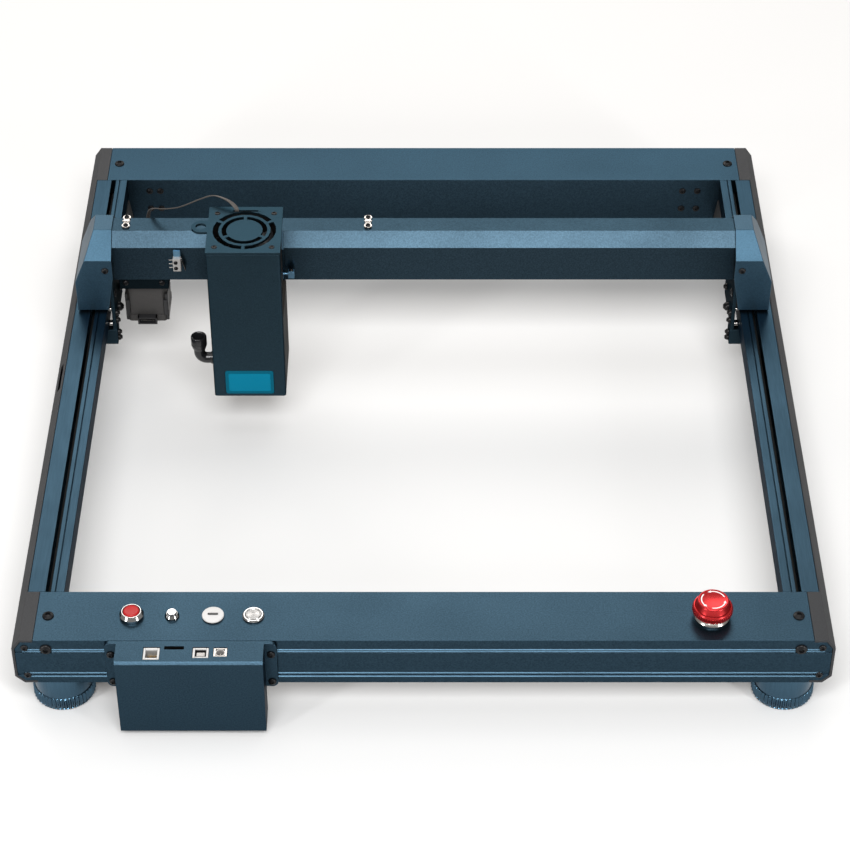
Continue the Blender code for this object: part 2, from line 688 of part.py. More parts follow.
def switch_lever():
    """The switch's sprung lever, hinged at its top."""
    pivot_x, pivot_z = SWITCH_X[1] + 0.6, 126.6
    foot_x, foot_z = SWITCH_X[1] + 3.4, 115.6
    outline = [
        (pivot_x - 0.3, pivot_z), (pivot_x + 0.4, pivot_z), (foot_x + 0.4, foot_z), (foot_x - 0.3, foot_z),
    ]
    lever = prism("switch_lever", outline, "Y", 87.0, 91.0, "bright_metal")
    return pivoted(lever, (pivot_x, 89.0, pivot_z))


# ---------------------------------------------------------------- carriage and laser module


def x_carriage():
    """The saddle in front of the beam, its shelf with the wheel axles, and the focus rail."""
    clear = 0.6
    back, sheet = BEAM_Y[0] - clear, 3.0
    shelf = (96.5, 99.5)
    knee = BEAM_Z[1] - BEAM_BEVEL + clear * math.tan(math.radians(22.5))
    lip_z = BEAM_Z[1] - 0.8
    lip_y = back + (lip_z - knee)
    fold = sheet * math.tan(math.radians(22.5))
    saddle_outline = [
        (128.0, shelf[1]), (back, shelf[1]), (back, knee), (lip_y, lip_z),
        (lip_y - sheet / 2, lip_z + sheet / 2), (back - sheet, knee + fold),
        (back - sheet, shelf[0]), (128.0, shelf[0]),
    ]
    saddle = prism("x_carriage", saddle_outline, "X", *CARRIAGE_X)
    wall = back - sheet
    added = [
        block("rail_neck", (MODULE_X - 8, 81.0, 56.0), (MODULE_X + 8, wall + 1, 134.0)),
        block("rail_head", (MODULE_X - 14, 77.0, 56.0), (MODULE_X + 14, 82.0, 134.0)),
        block("lock_lug", (-120.4, 84.3, LOCK_AXIS[1] - 3.3), (-115.0, wall + 1, LOCK_AXIS[1] + 3.3)),
        block("belt_clamp", (-158.0, 109.2, shelf[1] - 1), (-152.0, 111.2, X_BELT_Z[1])),
    ]
    for x, y in X_WHEELS.values():
        added.append(rod("collar", 4.0, "Z", (x, y, 0), shelf[1] - 1, X_WHEEL_Z - 4.4))
        added.append(rod("axle", SHAFT_R, "Z", (x, y, 0), shelf[1] - 1, X_WHEEL_Z + 5))
    joined(saddle, added)
    bore = rod("lock_bore", 1.4, "X", (0, *LOCK_AXIS), -119.4, -113.0, steps=12)
    return combined(saddle, [bore])


def x_wheel(which):
    x, y = X_WHEELS[which]
    profile = wheel_profile(X_WHEEL_R, X_WHEEL_Z, 4.0, BORE_R)
    wheel = turned("x_wheel_" + which, profile, "Z", (x, y, 0), "black_rubber")
    return pivoted(wheel, (x, y, X_WHEEL_Z))


def focus_lock():
    """The clamp screw beside the focus rail: a pin with a square grip."""
    y, z = LOCK_AXIS
    grip = block("focus_lock", (-111.1, y - 2.1, z - 3.3), (-106.1, y + 2.1, z + 3.3))
    joined(grip, [rod("pin", 1.0, "X", (0, *LOCK_AXIS), -118.5, -109.0, steps=12)])
    return pivoted(grip, (-110.0, y, z))


def module_front():
    """The module's bent front sheet, with the viewing window's opening."""
    sheet, bend, reach = 1.5, 2.0, 8.0
    front, half = MODULE_Y[0], MODULE_HALF
    right = arc((MODULE_X + half - bend, front + bend), bend, 270, 360, 4)
    left = arc((MODULE_X - half + bend, front + bend), bend, 180, 270, 4)
    outline = [
        *left, *right, (MODULE_X + half, front + reach), (MODULE_X + half - sheet, front + reach),
        (MODULE_X + half - sheet, front + sheet), (MODULE_X - half + sheet, front + sheet),
        (MODULE_X - half + sheet, front + reach), (MODULE_X - half, front + reach),
    ]
    cover = prism("module_front", outline, "Z", MODULE_Z[0], MODULE_Z[1] - TOP_THICK - GAP)
    opening = rounded((MODULE_X - 19.9, MODULE_X + 19.9), (46.0, 70.3), 2.5)
    return combined(cover, [prism("window_opening", opening, "Y", 8.0, 18.0)])


def window_pane():
    """The coloured pane over the focus point."""
    outline = rounded((MODULE_X - 19.6, MODULE_X + 19.6), (46.3, 70.0), 2.2)
    return prism("window_pane", outline, "Y", MODULE_Y[0] - 0.2, MODULE_Y[0] + 2, "teal_window")


def module_core():
    """The module's body and heat sink: a fan well above long fins, and claws round the focus rail."""
    front, back = 21.8, 73.3
    top = MODULE_Z[1] - TOP_THICK - GAP
    half, upper_half, step = MODULE_HALF, 26.6, 116.0
    section = [
        (-half, MODULE_Z[0]), (half, MODULE_Z[0]), (half, step), (upper_half, step),
        (upper_half, top), (-upper_half, top), (-upper_half, step), (-half, step),
    ]
    core = prism("module_core", [(MODULE_X + u, z) for u, z in section], "Y", front, back, "dark_metal")
    added = [block("front_pad", (MODULE_X - 26, 14.2, 76.0), (MODULE_X + 26, front + 1, top - 2))]
    for side in (LEFT, RIGHT):
        outer = [
            (14.4, 72.0), (19.5, 72.0), (19.5, 87.3), (8.4, 87.3), (8.4, 82.4), (14.4, 82.4),
        ]
        claw = [(MODULE_X + side * u, v) for u, v in outer]
        added.append(prism("claw", claw, "Z", 62.0, 106.0))
    joined(core, added)
    well_floor = 170.0
    cutters = [
        rod("fan_well", 25.4, "Z", (MODULE_X, FAN_Y, 0), well_floor, top + 5, steps=28),
        rod("lens_bore", 11.0, "Z", (MODULE_X, FAN_Y, 0), 40.0, 74.0),
        block("window_room", (MODULE_X - 16, 18.0, 48.0), (MODULE_X + 16, 36.0, 68.0)),
    ]
    fin_pitch = 6.0
    for k in range(-3, 4):
        x = MODULE_X + k * fin_pitch
        reach = math.sqrt(25.4**2 - (abs(k) * fin_pitch + 1.5) ** 2) - 1.0
        slot_low = (x - 1.5, FAN_Y - reach, 84.0)
        cutters.append(block("fin_slot", slot_low, (x + 1.5, FAN_Y + reach, well_floor + 2)))
    combined(core, cutters)
    base = block("fan_base", (MODULE_X - 4, FAN_Y - 12.0, 168.0), (MODULE_X + 4, FAN_Y + 12.0, 171.5))
    post = rod("fan_post", 2.0, "Z", (MODULE_X, FAN_Y, 0), 169.0, 180.0, steps=12)
    return joined(core, [base, post])


def ring_slot(inner, outer, start, end):
    """The outline of one curved slot of the fan grille."""
    centre = (MODULE_X, FAN_Y)
    return arc(centre, outer, start, end, 7) + arc(centre, inner, end, start, 7)


def module_top():
    """The module's top sheet: two rings of curved slots, a cable slot and a round ear."""
    low, high = MODULE_Z[1] - TOP_THICK, MODULE_Z[1]
    left, right = MODULE_X - MODULE_HALF - 0.3, MODULE_X + MODULE_HALF + 0.3
    front, back = MODULE_Y
    ear_x, ear_y, ear_r = left - 5.4, 47.3, 7.6
    outline = [(left, front), (right, front), (right, back), (left, back), (left, ear_y + ear_r)]
    outline += [*arc((ear_x, ear_y), ear_r, 90, 270, 8), (left, ear_y - ear_r)]
    plate = prism("module_top", outline, "Z", low, high)
    cutters = [
        prism("cable_slot", rounded((-151.9, -131.5), (67.3, 69.3), 0.9), "Z", low - 2, high + 2),
        rod("ear_hole", 4.2, "Z", (ear_x, ear_y, 0), low - 2, high + 2),
    ]
    for inner, outer, first_spoke in ((20.75, 25.15, 270), (14.45, 18.1, 90)):
        spoke = math.degrees(1.3 / ((inner + outer) / 2))
        for k in range(3):
            start = first_spoke + 120 * k + spoke
            outline = ring_slot(inner, outer, start, start + 120 - 2 * spoke)
            cutters.append(prism("ring_slot", outline, "Z", low - 2, high + 2))
    return combined(plate, cutters)


def fan_rotor():
    """The cooling fan's hub with seven pitched blades."""
    low, high = 173.0, 184.0
    centre = (MODULE_X, FAN_Y, 0)
    hub = [(2.3, low), (13.0, low), (13.0, high - 1), (12.0, high), (2.3, high)]
    rotor = turned("fan_rotor", hub, "Z", centre, "black_plastic", 21)
    blades = []
    for k in range(7):
        blade = block("blade", (12.0, -1.0, low + 1.5), (23.6, 1.0, high - 1.5), "black_plastic")
        middle = Vector((0, 0, (low + high) / 2)) * MM
        pitch = Matrix.Translation(middle) @ Matrix.Rotation(math.radians(38), 4, "X")
        turn = Matrix.Rotation(2 * math.pi * k / 7, 4, "Z")
        move = Matrix.Translation(Vector(centre) * MM)
        blade.data.transform(move @ turn @ pitch @ Matrix.Translation(-middle))
        blades.append(blade)
    joined(rotor, blades)
    return pivoted(rotor, (MODULE_X, FAN_Y, (low + high) / 2))


def lens_barrel():
    """The lens barrel with its air nozzle, bored for the beam."""
    profile = [
        (1.6, 73.5), (10.7, 73.5), (10.7, 44.0), (9.0, 43.0), (9.0, 38.0), (4.0, 33.0),
        (1.6, 33.0),
    ]
    return turned("lens_barrel", profile, "Z", (MODULE_X, FAN_Y, 0), "bright_metal", 20)


def air_elbow():
    """The air hose's elbow: out of the module's left side and up into an open cup."""
    centre = (ELBOW_X, ELBOW_Y, 0)
    side_x = MODULE_X - MODULE_HALF
    cup = [
        (0, ELBOW_Z - 5.2), (3.4, ELBOW_Z - 4.6), (5.2, ELBOW_Z - 2.4), (5.4, ELBOW_Z),
        (5.4, ELBOW_Z + 11), (6.45, ELBOW_Z + 13.5), (6.45, ELBOW_Z + 22.6), (0, ELBOW_Z + 22.6),
    ]
    elbow = turned("air_elbow", cup, "Z", centre, "black_plastic")
    arm = rod("arm", 4.9, "X", (0, ELBOW_Y, ELBOW_Z), ELBOW_X + 1.3, side_x - GAP, "black_plastic", 14)
    joined(elbow, [arm])
    bores = [
        rod("cup_bore", 4.6, "Z", centre, ELBOW_Z - 1, ELBOW_Z + 30),
        rod("arm_bore", 2.6, "X", (0, ELBOW_Y, ELBOW_Z), ELBOW_X - 1, side_x + 5, steps=12),
    ]
    return combined(elbow, bores)


# ---------------------------------------------------------------- ribbon cable

RIBBON_WIDE, RIBBON_THICK = 5.0, 0.9
RIBBON_ROUTE = [
    (-148.9, 68.3, 187.6), (-149.0, 68.6, 191.0), (-153.5, 72.5, 194.3), (-161.0, 77.5, 195.4),
    (-169.0, 82.0, 194.0), (-180.0, 89.0, 185.4), (-190.3, 96.3, 175.6), (-199.0, 103.0, 167.5),
    (-206.8, 109.3, 161.8), (-214.5, 115.5, 157.0), (-220.5, 121.5, 153.2), (-225.5, 128.0, 147.0),
    (-228.0, 131.8, 138.0), (-229.2, 132.6, 128.0), (-229.6, 132.8, 118.0),
]


def ribbon_point(at):
    """A point on the smooth curve through the ribbon's route, with at running from 0 to its last index."""
    last = len(RIBBON_ROUTE) - 1
    k = min(int(at), last - 1)
    t = at - k
    p = [Vector(RIBBON_ROUTE[min(max(k + d, 0), last)]) for d in (-1, 0, 1, 2)]
    return 0.5 * (
        2 * p[1] + (p[2] - p[0]) * t + (2 * p[0] - 5 * p[1] + 4 * p[2] - p[3]) * t**2
        + (3 * p[1] - p[0] - 3 * p[2] + p[3]) * t**3
    )


def ribbon_cable():
    """A flat cable from the module's top slot, over the beam and down its back.

    Its width lies along X where it leaves the slot and where it ends, and turns to the back between.
    """
    stations = 36
    last = len(RIBBON_ROUTE) - 1
    at_slot, between, at_end = Vector((1, 0, 0)), Vector((0.1, 0.8, -0.6)), Vector((1, 0, 0))
    bm = bmesh.new()
    rows = []
    for k in range(stations + 1):
        at = last * k / stations
        middle = ribbon_point(at)
        ahead = ribbon_point(min(at + 0.05, last)) - ribbon_point(max(at - 0.05, 0))
        share = min(at / 5, (last - at) / 4, 1)
        ends = at_slot if at < last / 2 else at_end
        wide = ends.lerp(between, share)
        wide = (wide - wide.project(ahead)).normalized() * RIBBON_WIDE / 2
        thick = wide.cross(ahead).normalized() * RIBBON_THICK / 2
        corners = (middle + wide + thick, middle - wide + thick, middle - wide - thick, middle + wide - thick)
        rows.append([bm.verts.new(c) for c in corners])
    for here, there in zip(rows, rows[1:]):
        for k in range(4):
            n = (k + 1) % 4
            bm.faces.new((here[k], here[n], there[n], there[k]))
    bm.faces.new(rows[0])
    bm.faces.new(rows[-1])
    return finished("ribbon_cable", bm, "ribbon_grey")


# ---------------------------------------------------------------- assembly


def build_frame():
    front_bar()
    rear_bar()
    for side in (LEFT, RIGHT):
        rail(side)
        side_cover(side)
        end_stop(side)
        foot(side, FRONT_MIDDLE, "foot_front_" + side_name(side))
        foot(side, REAR_MIDDLE, "foot_rear_" + side_name(side))


def build_controls():
    control_box()
    control_board()
    bezel("power_bezel", POWER_X, (8.8, 2.4), (7.1, 5.2), 7.8, 6.4)
    button("power_button", POWER_X, 6.1, 6.0, -4.0, "red_plastic")
    bezel("reset_bezel", RESET_X, (5.25, 1.6), (4.4, 3.0), 4.0, 3.6)
    button("reset_button", RESET_X, 3.3, 4.5, -4.0, "bright_metal")
    mode_switch()
    bezel("start_bezel", START_X, (7.95, 1.2), (7.3, 2.0), 6.3, 6.0)
    button("start_button", START_X, 5.7, 2.4, -4.0, "bright_metal")
    stop_base()
    stop_head()


def build_y_drive():
    y_motor()
    y_drive_shaft()
    for side in (LEFT, RIGHT):
        y_idler(side)
        y_belt(side)


def build_gantry():
    x_beam()
    for side in (LEFT, RIGHT):
        gantry_cover(side)
        gantry_plate(side)
        guide_block(side)
        for y, place in zip(Y_WHEEL_Y, ("front", "rear")):
            y_wheel(side, y, f"y_wheel_{side_name(side)}_{place}")
    x_motor()
    motor_bracket()
    x_drive_pulley()
    x_idler_pulley()
    belt("x_belt", "Z", (MOTOR_X, X_IDLER_X), BELT_AXIS_Y, *X_BELT_Z)
    limit_switch()
    switch_lever()


def build_carriage():
    x_carriage()
    for which in X_WHEELS:
        x_wheel(which)
    focus_lock()
    module_front()
    window_pane()
    module_core()
    module_top()
    fan_rotor()
    lens_barrel()
    air_elbow()
    ribbon_cable()


def shade_round():
    """Smooth shading on curved faces, with real corners kept sharp."""
    for obj in bpy.context.scene.objects:
        obj.data.shade_smooth()
        obj.data.set_sharp_from_angle(angle=math.radians(30))


def main():
    for old in list(bpy.data.objects):
        bpy.data.objects.remove(old)
    build_frame()
    build_controls()
    build_y_drive()
    build_gantry()
    build_carriage()
    shade_round()


main()
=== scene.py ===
"""Looks for the desktop laser cutter: fine pieces, materials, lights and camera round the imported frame.

Lengths are in millimetres in the frame's own axes, and MM turns them into metres.
"""

import math

import bmesh
import bpy
from mathutils import Matrix, Vector


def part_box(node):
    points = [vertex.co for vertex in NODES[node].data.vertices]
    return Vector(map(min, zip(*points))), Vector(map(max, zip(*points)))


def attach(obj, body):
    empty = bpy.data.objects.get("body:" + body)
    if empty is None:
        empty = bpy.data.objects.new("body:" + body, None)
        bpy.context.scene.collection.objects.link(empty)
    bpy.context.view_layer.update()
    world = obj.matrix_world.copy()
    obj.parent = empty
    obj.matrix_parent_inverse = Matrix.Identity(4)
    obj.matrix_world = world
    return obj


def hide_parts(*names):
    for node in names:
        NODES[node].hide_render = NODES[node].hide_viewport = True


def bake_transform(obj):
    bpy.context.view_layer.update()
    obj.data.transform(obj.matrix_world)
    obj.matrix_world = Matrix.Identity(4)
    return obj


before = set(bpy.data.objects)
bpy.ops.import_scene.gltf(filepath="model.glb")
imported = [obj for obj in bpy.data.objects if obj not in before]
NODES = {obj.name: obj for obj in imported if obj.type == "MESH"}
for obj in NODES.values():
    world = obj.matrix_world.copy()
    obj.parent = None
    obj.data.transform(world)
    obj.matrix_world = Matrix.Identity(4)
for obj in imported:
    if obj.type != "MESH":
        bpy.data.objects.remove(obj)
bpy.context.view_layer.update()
MM = 0.001

BAR_TOP, FOOT_X = 76.0, 265.8
FRONT_FACE, FRONT_MIDDLE = -299.7, -274.7
REAR_INNER, REAR_MIDDLE, REAR_FACE = 272.3, 297.3, 322.3
DRIVE_Z, X_BELT_Z, PULLEY_X, Y_WHEEL_Z = 53.1, 127.0, 274.3, 86.35
BEAM_TOP, GANTRY_FRONT, GANTRY_BACK, PLATE_INNER = 144.8, 82.3, 139.8, 256.2
POWER_X, RESET_X, MODE_X, START_X, STOP_X = -211.0, -181.8, -152.2, -123.0, 208.5
MODULE_X, FAN_Y, MODULE_TOP = -141.3, 42.3, 189.0
MOTOR_X, BELT_AXIS_Y = -231.5, 118.3
ELBOW = (-183.0, 37.3, 64.0)
LOCK_Y, LOCK_Z = 86.4, 115.9
# The middles of the control box's sockets, and how low and high their shells stand.
NETWORK, CARD, DATA, SUPPLY = (-193.9, -312.4), (-178.0, -306.9), (-158.8, -311.6), (-144.8, -311.0)
SOCKET_LOW, SOCKET_TOP = 58.9, 75.7
TEETH = (16, 0.12)
SIDES = {"left": -1, "right": 1}
PHOTO_WIDE = 850


# ---------------------------------------------------------------- materials


def linked(tree, kind, inputs=None, **settings):
    """A new node with these settings; each input is a number, a colour or another node's output."""
    made = tree.nodes.new(kind)
    for key, value in settings.items():
        setattr(made, key, value)
    for key, value in (inputs or {}).items():
        if isinstance(value, bpy.types.NodeSocket):
            tree.links.new(value, made.inputs[key])
        else:
            made.inputs[key].default_value = value
    return made


def shaded(colour, factor):
    """A colour made lighter or darker, with its alpha."""
    return (*(min(c * factor, 1.0) for c in colour), 1.0)


def surface(name, colour, rough=0.45, metallic=0.0, tone=0.1, tone_size=60.0, grain=0.08, grain_size=0.7,
            bump=0.1, coat=0.0, specular=0.5, edge=1.0, rings=None, streak=None):
    """A procedural surface: broad tone and fine grain in its colour, and relief and gloss that follow them.

    tone and grain are shares of the colour; sizes are in millimetres. edge is how much of a metal's
    reflection stays at a grazing angle. rings is the (x, y, z) centre that lathe marks run round. streak
    stretches the grain along an axis, as brushing does.
    """
    made = bpy.data.materials.new(name)
    made.use_nodes = True
    tree = made.node_tree
    shader = tree.nodes["Principled BSDF"]
    place = linked(tree, "ShaderNodeTexCoord").outputs["Object"]
    broad = linked(tree, "ShaderNodeTexNoise", {"Vector": place, "Scale": 1000.0 / tone_size, "Detail": 3.0})
    if rings:
        offset = linked(tree, "ShaderNodeMapping", {"Vector": place, "Location": [-c * MM for c in rings]})
        fine = linked(
            tree, "ShaderNodeTexWave",
            {"Vector": offset.outputs[0], "Scale": 1000.0 / grain_size / 20, "Distortion": 1.5, "Detail": 3.0},
            wave_type="RINGS", rings_direction="Z",
        )
    else:
        stretch = {"X": (0.04, 1, 1), "Y": (1, 0.04, 1), "Z": (1, 1, 0.04)}.get(streak, (1, 1, 1))
        scaled = linked(tree, "ShaderNodeMapping", {"Vector": place, "Scale": stretch})
        fine = linked(
            tree, "ShaderNodeTexNoise",
            {"Vector": scaled.outputs[0], "Scale": 1000.0 / grain_size, "Detail": 2.0, "Roughness": 0.6},
        )
    base = linked(
        tree, "ShaderNodeMix",
        {0: broad.outputs[0], 6: shaded(colour, 1 - tone), 7: shaded(colour, 1 + tone)},
        data_type="RGBA",
    )
    speck = linked(
        tree, "ShaderNodeMapRange",
        {"Value": fine.outputs["Fac"], "From Min": 0.3, "From Max": 0.7,
         "To Min": 1 - grain, "To Max": 1 + grain},
    )
    final = linked(
        tree, "ShaderNodeVectorMath", {0: base.outputs[2], 1: speck.outputs[0]}, operation="MULTIPLY",
    )
    gloss = linked(
        tree, "ShaderNodeMapRange",
        {"Value": broad.outputs[0], "From Min": 0.3, "From Max": 0.7,
         "To Min": max(rough - 0.04, 0.02), "To Max": min(rough + 0.05, 1.0)},
    )
    relief = linked(
        tree, "ShaderNodeBump",
        {"Height": fine.outputs["Fac"], "Strength": bump, "Distance": 0.0001},
    )
    tree.links.new(final.outputs[0], shader.inputs["Base Color"])
    tree.links.new(gloss.outputs[0], shader.inputs["Roughness"])
    tree.links.new(relief.outputs[0], shader.inputs["Normal"])
    shader.inputs["Metallic"].default_value = metallic
    shader.inputs["Coat Weight"].default_value = coat
    shader.inputs["Specular IOR Level"].default_value = specular
    shader.inputs["Specular Tint"].default_value = (edge, edge, edge, 1.0)
    return made


BLUE = (0.024, 0.046, 0.066)
blue = surface("blue_anodised", BLUE, 0.36, 1.0, tone=0.06, grain=0.22, grain_size=1.1, bump=0.22, edge=0.3)
blue_rail = surface("blue_extruded", BLUE, 0.38, 1.0, tone=0.05, grain=0.12, bump=0.12, edge=0.3, streak="Y")
beam_blue = surface(
    "blue_beam", (0.0225, 0.040, 0.055), 0.36, 1.0, tone=0.06, grain=0.22, grain_size=1.1, bump=0.22, edge=0.3,
)
cover_blue = surface("blue_cover", (0.035, 0.072, 0.105), 0.5, 1.0, tone=0.06, grain=0.14, grain_size=0.9, bump=0.16)
bracket_blue = surface("blue_bracket", (0.008, 0.014, 0.018), 0.46, 1.0, grain=0.12, bump=0.12, edge=0.15)
foot_blue = surface("blue_turned", (0.05, 0.1, 0.145), 0.22, 1.0, tone=0.06, grain=0.1, bump=0.1, streak="Z")
module_blue = surface("blue_sheet", (0.022, 0.041, 0.055), 0.46, 1.0, tone=0.06, grain=0.16, bump=0.18, edge=0.15)
light_blue = surface("blue_light", (0.13, 0.26, 0.38), 0.4, 1.0, grain=0.12)
cover_grey = surface(
    "cover_powder", (0.03, 0.031, 0.033), 0.5, 0.4, tone=0.08, grain=0.2, grain_size=0.6, bump=0.3, specular=0.3,
    edge=0.4,
)
core_grey = surface(
    "core_cast", (0.02, 0.019, 0.018), 0.5, 0.6, tone=0.08, grain=0.15, bump=0.2, specular=0.2, edge=0.1,
)
motor_grey = surface("motor_paint", (0.034, 0.032, 0.031), 0.5, 0.2, tone=0.08, grain=0.12, bump=0.15)
black = surface("black_moulded", (0.010, 0.010, 0.011), 0.42, tone=0.15, grain=0.15, grain_size=0.4, bump=0.12)
gloss_black = surface("black_gloss", (0.008, 0.008, 0.009), 0.2, tone=0.1, grain=0.08, bump=0.03)
# Near-black and unreflecting: painted shade, standing in for the dark insides of the card slot and the cable slot.
painted_shade_black = surface("black_painted_shade", (0.002, 0.002, 0.002), 0.9, tone=0.2, grain=0.2, bump=0.1, specular=0.02)
screw_black = surface(
    "screw_black", (0.004, 0.004, 0.0045), 0.34, tone=0.2, grain=0.2, grain_size=0.3, bump=0.1, specular=0.18,
)
rubber = surface("rubber_black", (0.012, 0.012, 0.012), 0.75, tone=0.15, grain=0.2, grain_size=0.5, bump=0.3)
nickel = surface("nickel_plated", (0.36, 0.345, 0.33), 0.24, 1.0, tone=0.06, grain=0.05, grain_size=0.5, bump=0.05)
chrome = surface("chrome_turned", (0.34, 0.34, 0.34), 0.12, 1.0, tone=0.05, grain=0.05, grain_size=0.4, bump=0.04)
steel = surface("steel_turned", (0.42, 0.42, 0.43), 0.28, 1.0, tone=0.08, grain=0.1, grain_size=0.4, bump=0.1)
spun = surface(
    "steel_spun", (0.27, 0.27, 0.27), 0.26, 1.0, tone=0.05, grain=0.2, grain_size=0.06, bump=0.3,
    rings=(START_X, FRONT_MIDDLE, 0),
)
red = surface("red_moulded", (0.27, 0.006, 0.007), 0.4, tone=0.08, grain=0.04, bump=0.04, specular=0.25)
red_deep = surface("red_mushroom", (0.34, 0.016, 0.018), 0.26, 0.75, tone=0.06, grain=0.04, bump=0.03, edge=0.6)
white = surface("white_moulded", (0.41, 0.405, 0.4), 0.4, tone=0.03, grain=0.03, bump=0.04, specular=0.3)
mark_white = surface("mark_printed", (0.62, 0.58, 0.58), 0.5, tone=0.03, grain=0.03, bump=0.03)
teal = surface("teal_acrylic", (0.0, 0.112, 0.185), 0.35, tone=0.05, tone_size=30, grain=0.02, bump=0.02, specular=0.06)
teal_dark = surface("teal_border", (0.0, 0.062, 0.1), 0.4, tone=0.08, grain=0.04, bump=0.04, specular=0.06)
board_green = surface("board_lacquer", (0.012, 0.09, 0.035), 0.35, tone=0.2, tone_size=8, grain=0.1, bump=0.1)
gold = surface("gold_contact", (0.75, 0.5, 0.18), 0.25, 1.0, tone=0.06, grain=0.05, bump=0.05)
cable_grey = surface("cable_jacket", (0.04, 0.034, 0.03), 0.5, tone=0.12, tone_size=12, grain=0.12, bump=0.2)
switch_grey = surface("switch_body", (0.3, 0.29, 0.28), 0.4, 0.3, tone=0.1, grain=0.1)
lens_glass = surface("lens_coated", (0.05, 0.02, 0.12), 0.05, tone=0.2, tone_size=6, grain=0.0, bump=0.0, coat=1.0)


# ---------------------------------------------------------------- shapes


def placed(axis, along, u, v):
    """A point from its height along an axis and the two other coordinates, in X, Y, Z order."""
    return {"X": (along, u, v), "Y": (u, along, v), "Z": (u, v, along)}[axis]


def weld(bm, verts):
    """Joins those corners of one part that fall together. Parts that only touch stay apart."""
    bmesh.ops.remove_doubles(bm, verts=verts, dist=0.002)


def lathe(bm, profile, axis, centre, steps=48, ripple=None):
    """Adds a turned shape. A profile point is (radius, height), and a third item makes it a hexagon or a knurl.

    ripple is (count, share) of the knurl. A profile that starts and ends off the axis is closed as a ring.
    """
    ring = profile[0][0] > 0 or profile[-1][0] > 0
    rows = []
    for step in range(steps):
        angle = 2 * math.pi * step / steps
        row = []
        for point in profile:
            radius, height = point[:2]
            form = point[2] if len(point) > 2 else ""
            if form == "hex":
                radius *= math.cos(math.pi / 6) / math.cos((angle % (math.pi / 3)) - math.pi / 6)
            elif form == "knurl":
                radius *= 1 - ripple[1] * (0.5 - 0.5 * math.cos(angle * ripple[0])) ** 0.7
            at = placed(axis, height, radius * math.cos(angle), radius * math.sin(angle))
            row.append(bm.verts.new(Vector(at) + Vector(centre)))
        rows.append(row)
    for step in range(steps):
        here, there = rows[step], rows[(step + 1) % steps]
        for k in range(len(profile) if ring else len(profile) - 1):
            n = (k + 1) % len(profile)
            bm.faces.new((here[k], there[k], there[n], here[n]))
    weld(bm, [v for row in rows for v in row])
    return bm


def absorb(bm, part):
    """Moves the whole of one bmesh into another, and frees it."""
    copied = bpy.data.meshes.new("part")
    part.to_mesh(copied)
    part.free()
    bm.from_mesh(copied)
    bpy.data.meshes.remove(copied)
    return bm


def slab(bm, outline, axis, low, high, edge=0.3):
    """Adds an outline drawn out along an axis, with its edges rounded."""
    part = bmesh.new()
    lower = [part.verts.new(placed(axis, low, u, v)) for u, v in outline]
    upper = [part.verts.new(placed(axis, high, u, v)) for u, v in outline]
    part.faces.new(lower)
    part.faces.new(upper)
    for k in range(len(outline)):
        n = (k + 1) % len(outline)
        part.faces.new((lower[k], lower[n], upper[n], upper[k]))
    bmesh.ops.recalc_face_normals(part, faces=part.faces)
    if edge:
        corners = [e for e in part.edges if e.calc_face_angle(0) > math.radians(25)]
        bmesh.ops.bevel(part, geom=corners, offset=edge, segments=2, affect="EDGES", clamp_overlap=True)
    weld(part, part.verts)
    return absorb(bm, part)


def brick(bm, low, high, edge=0.3):
    """Adds a rectangular block between two corners, with its edges rounded."""
    outline = [(low[0], low[1]), (high[0], low[1]), (high[0], high[1]), (low[0], high[1])]
    return slab(bm, outline, "Z", low[2], high[2], edge)


def tube(bm, path, radius, steps):
    """Adds a round tube along points; its ends are open for another shape to close."""
    rows = []
    side = Vector((0, 1, 0))
    for k, point in enumerate(path):
        ahead = Vector(path[min(k + 1, len(path) - 1)]) - Vector(path[max(k - 1, 0)])
        across = ahead.cross(side).normalized()
        row = []
        for step in range(steps):
            angle = 2 * math.pi * step / steps
            offset = (side * math.cos(angle) + across * math.sin(angle)) * radius
            row.append(bm.verts.new(Vector(point) + offset))
        rows.append(row)
    for here, there in zip(rows, rows[1:]):
        for step in range(steps):
            n = (step + 1) % steps
            bm.faces.new((here[step], here[n], there[n], there[step]))
    return bm


def screw(bm, at, facing, radius, height=None):
    """Adds a button-head screw with a hexagon socket, its head standing on the point and facing an axis."""
    height = height or radius * 0.5
    socket = radius * 0.5
    dome = [(radius * math.cos(a), height * (0.25 + 0.75 * math.sin(a))) for a in (0, 0.35, 0.7, 0.95)]
    profile = [(radius, 0.0), *dome, (socket, height, "hex"), (socket * 0.96, height * 0.35, "hex"), (0, height * 0.3)]
    head = lathe(bmesh.new(), [(0, 0), *profile], "Z", (0, 0, 0), steps=24)
    turn = Vector((0, 0, 1)).rotation_difference(Vector(facing)).to_matrix().to_4x4()
    bmesh.ops.transform(head, matrix=Matrix.Translation(Vector(at)) @ turn, verts=head.verts)
    return absorb(bm, head)


def piece(name, bm, material, body, replaces=(), angle=32):
    """A piece from a bmesh in millimetres, smooth but for its corners, that rides on a body."""
    bmesh.ops.recalc_face_normals(bm, faces=bm.faces)
    bmesh.ops.scale(bm, verts=bm.verts, vec=(MM, MM, MM))
    mesh = bpy.data.meshes.new(name)
    bm.to_mesh(mesh)
    bm.free()
    mesh.materials.append(material)
    mesh.shade_smooth()
    mesh.set_sharp_from_angle(angle=math.radians(angle))
    obj = bpy.data.objects.new(name, mesh)
    bpy.context.scene.collection.objects.link(obj)
    if body:
        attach(obj, body)
    if replaces:
        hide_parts(*replaces)
    return obj


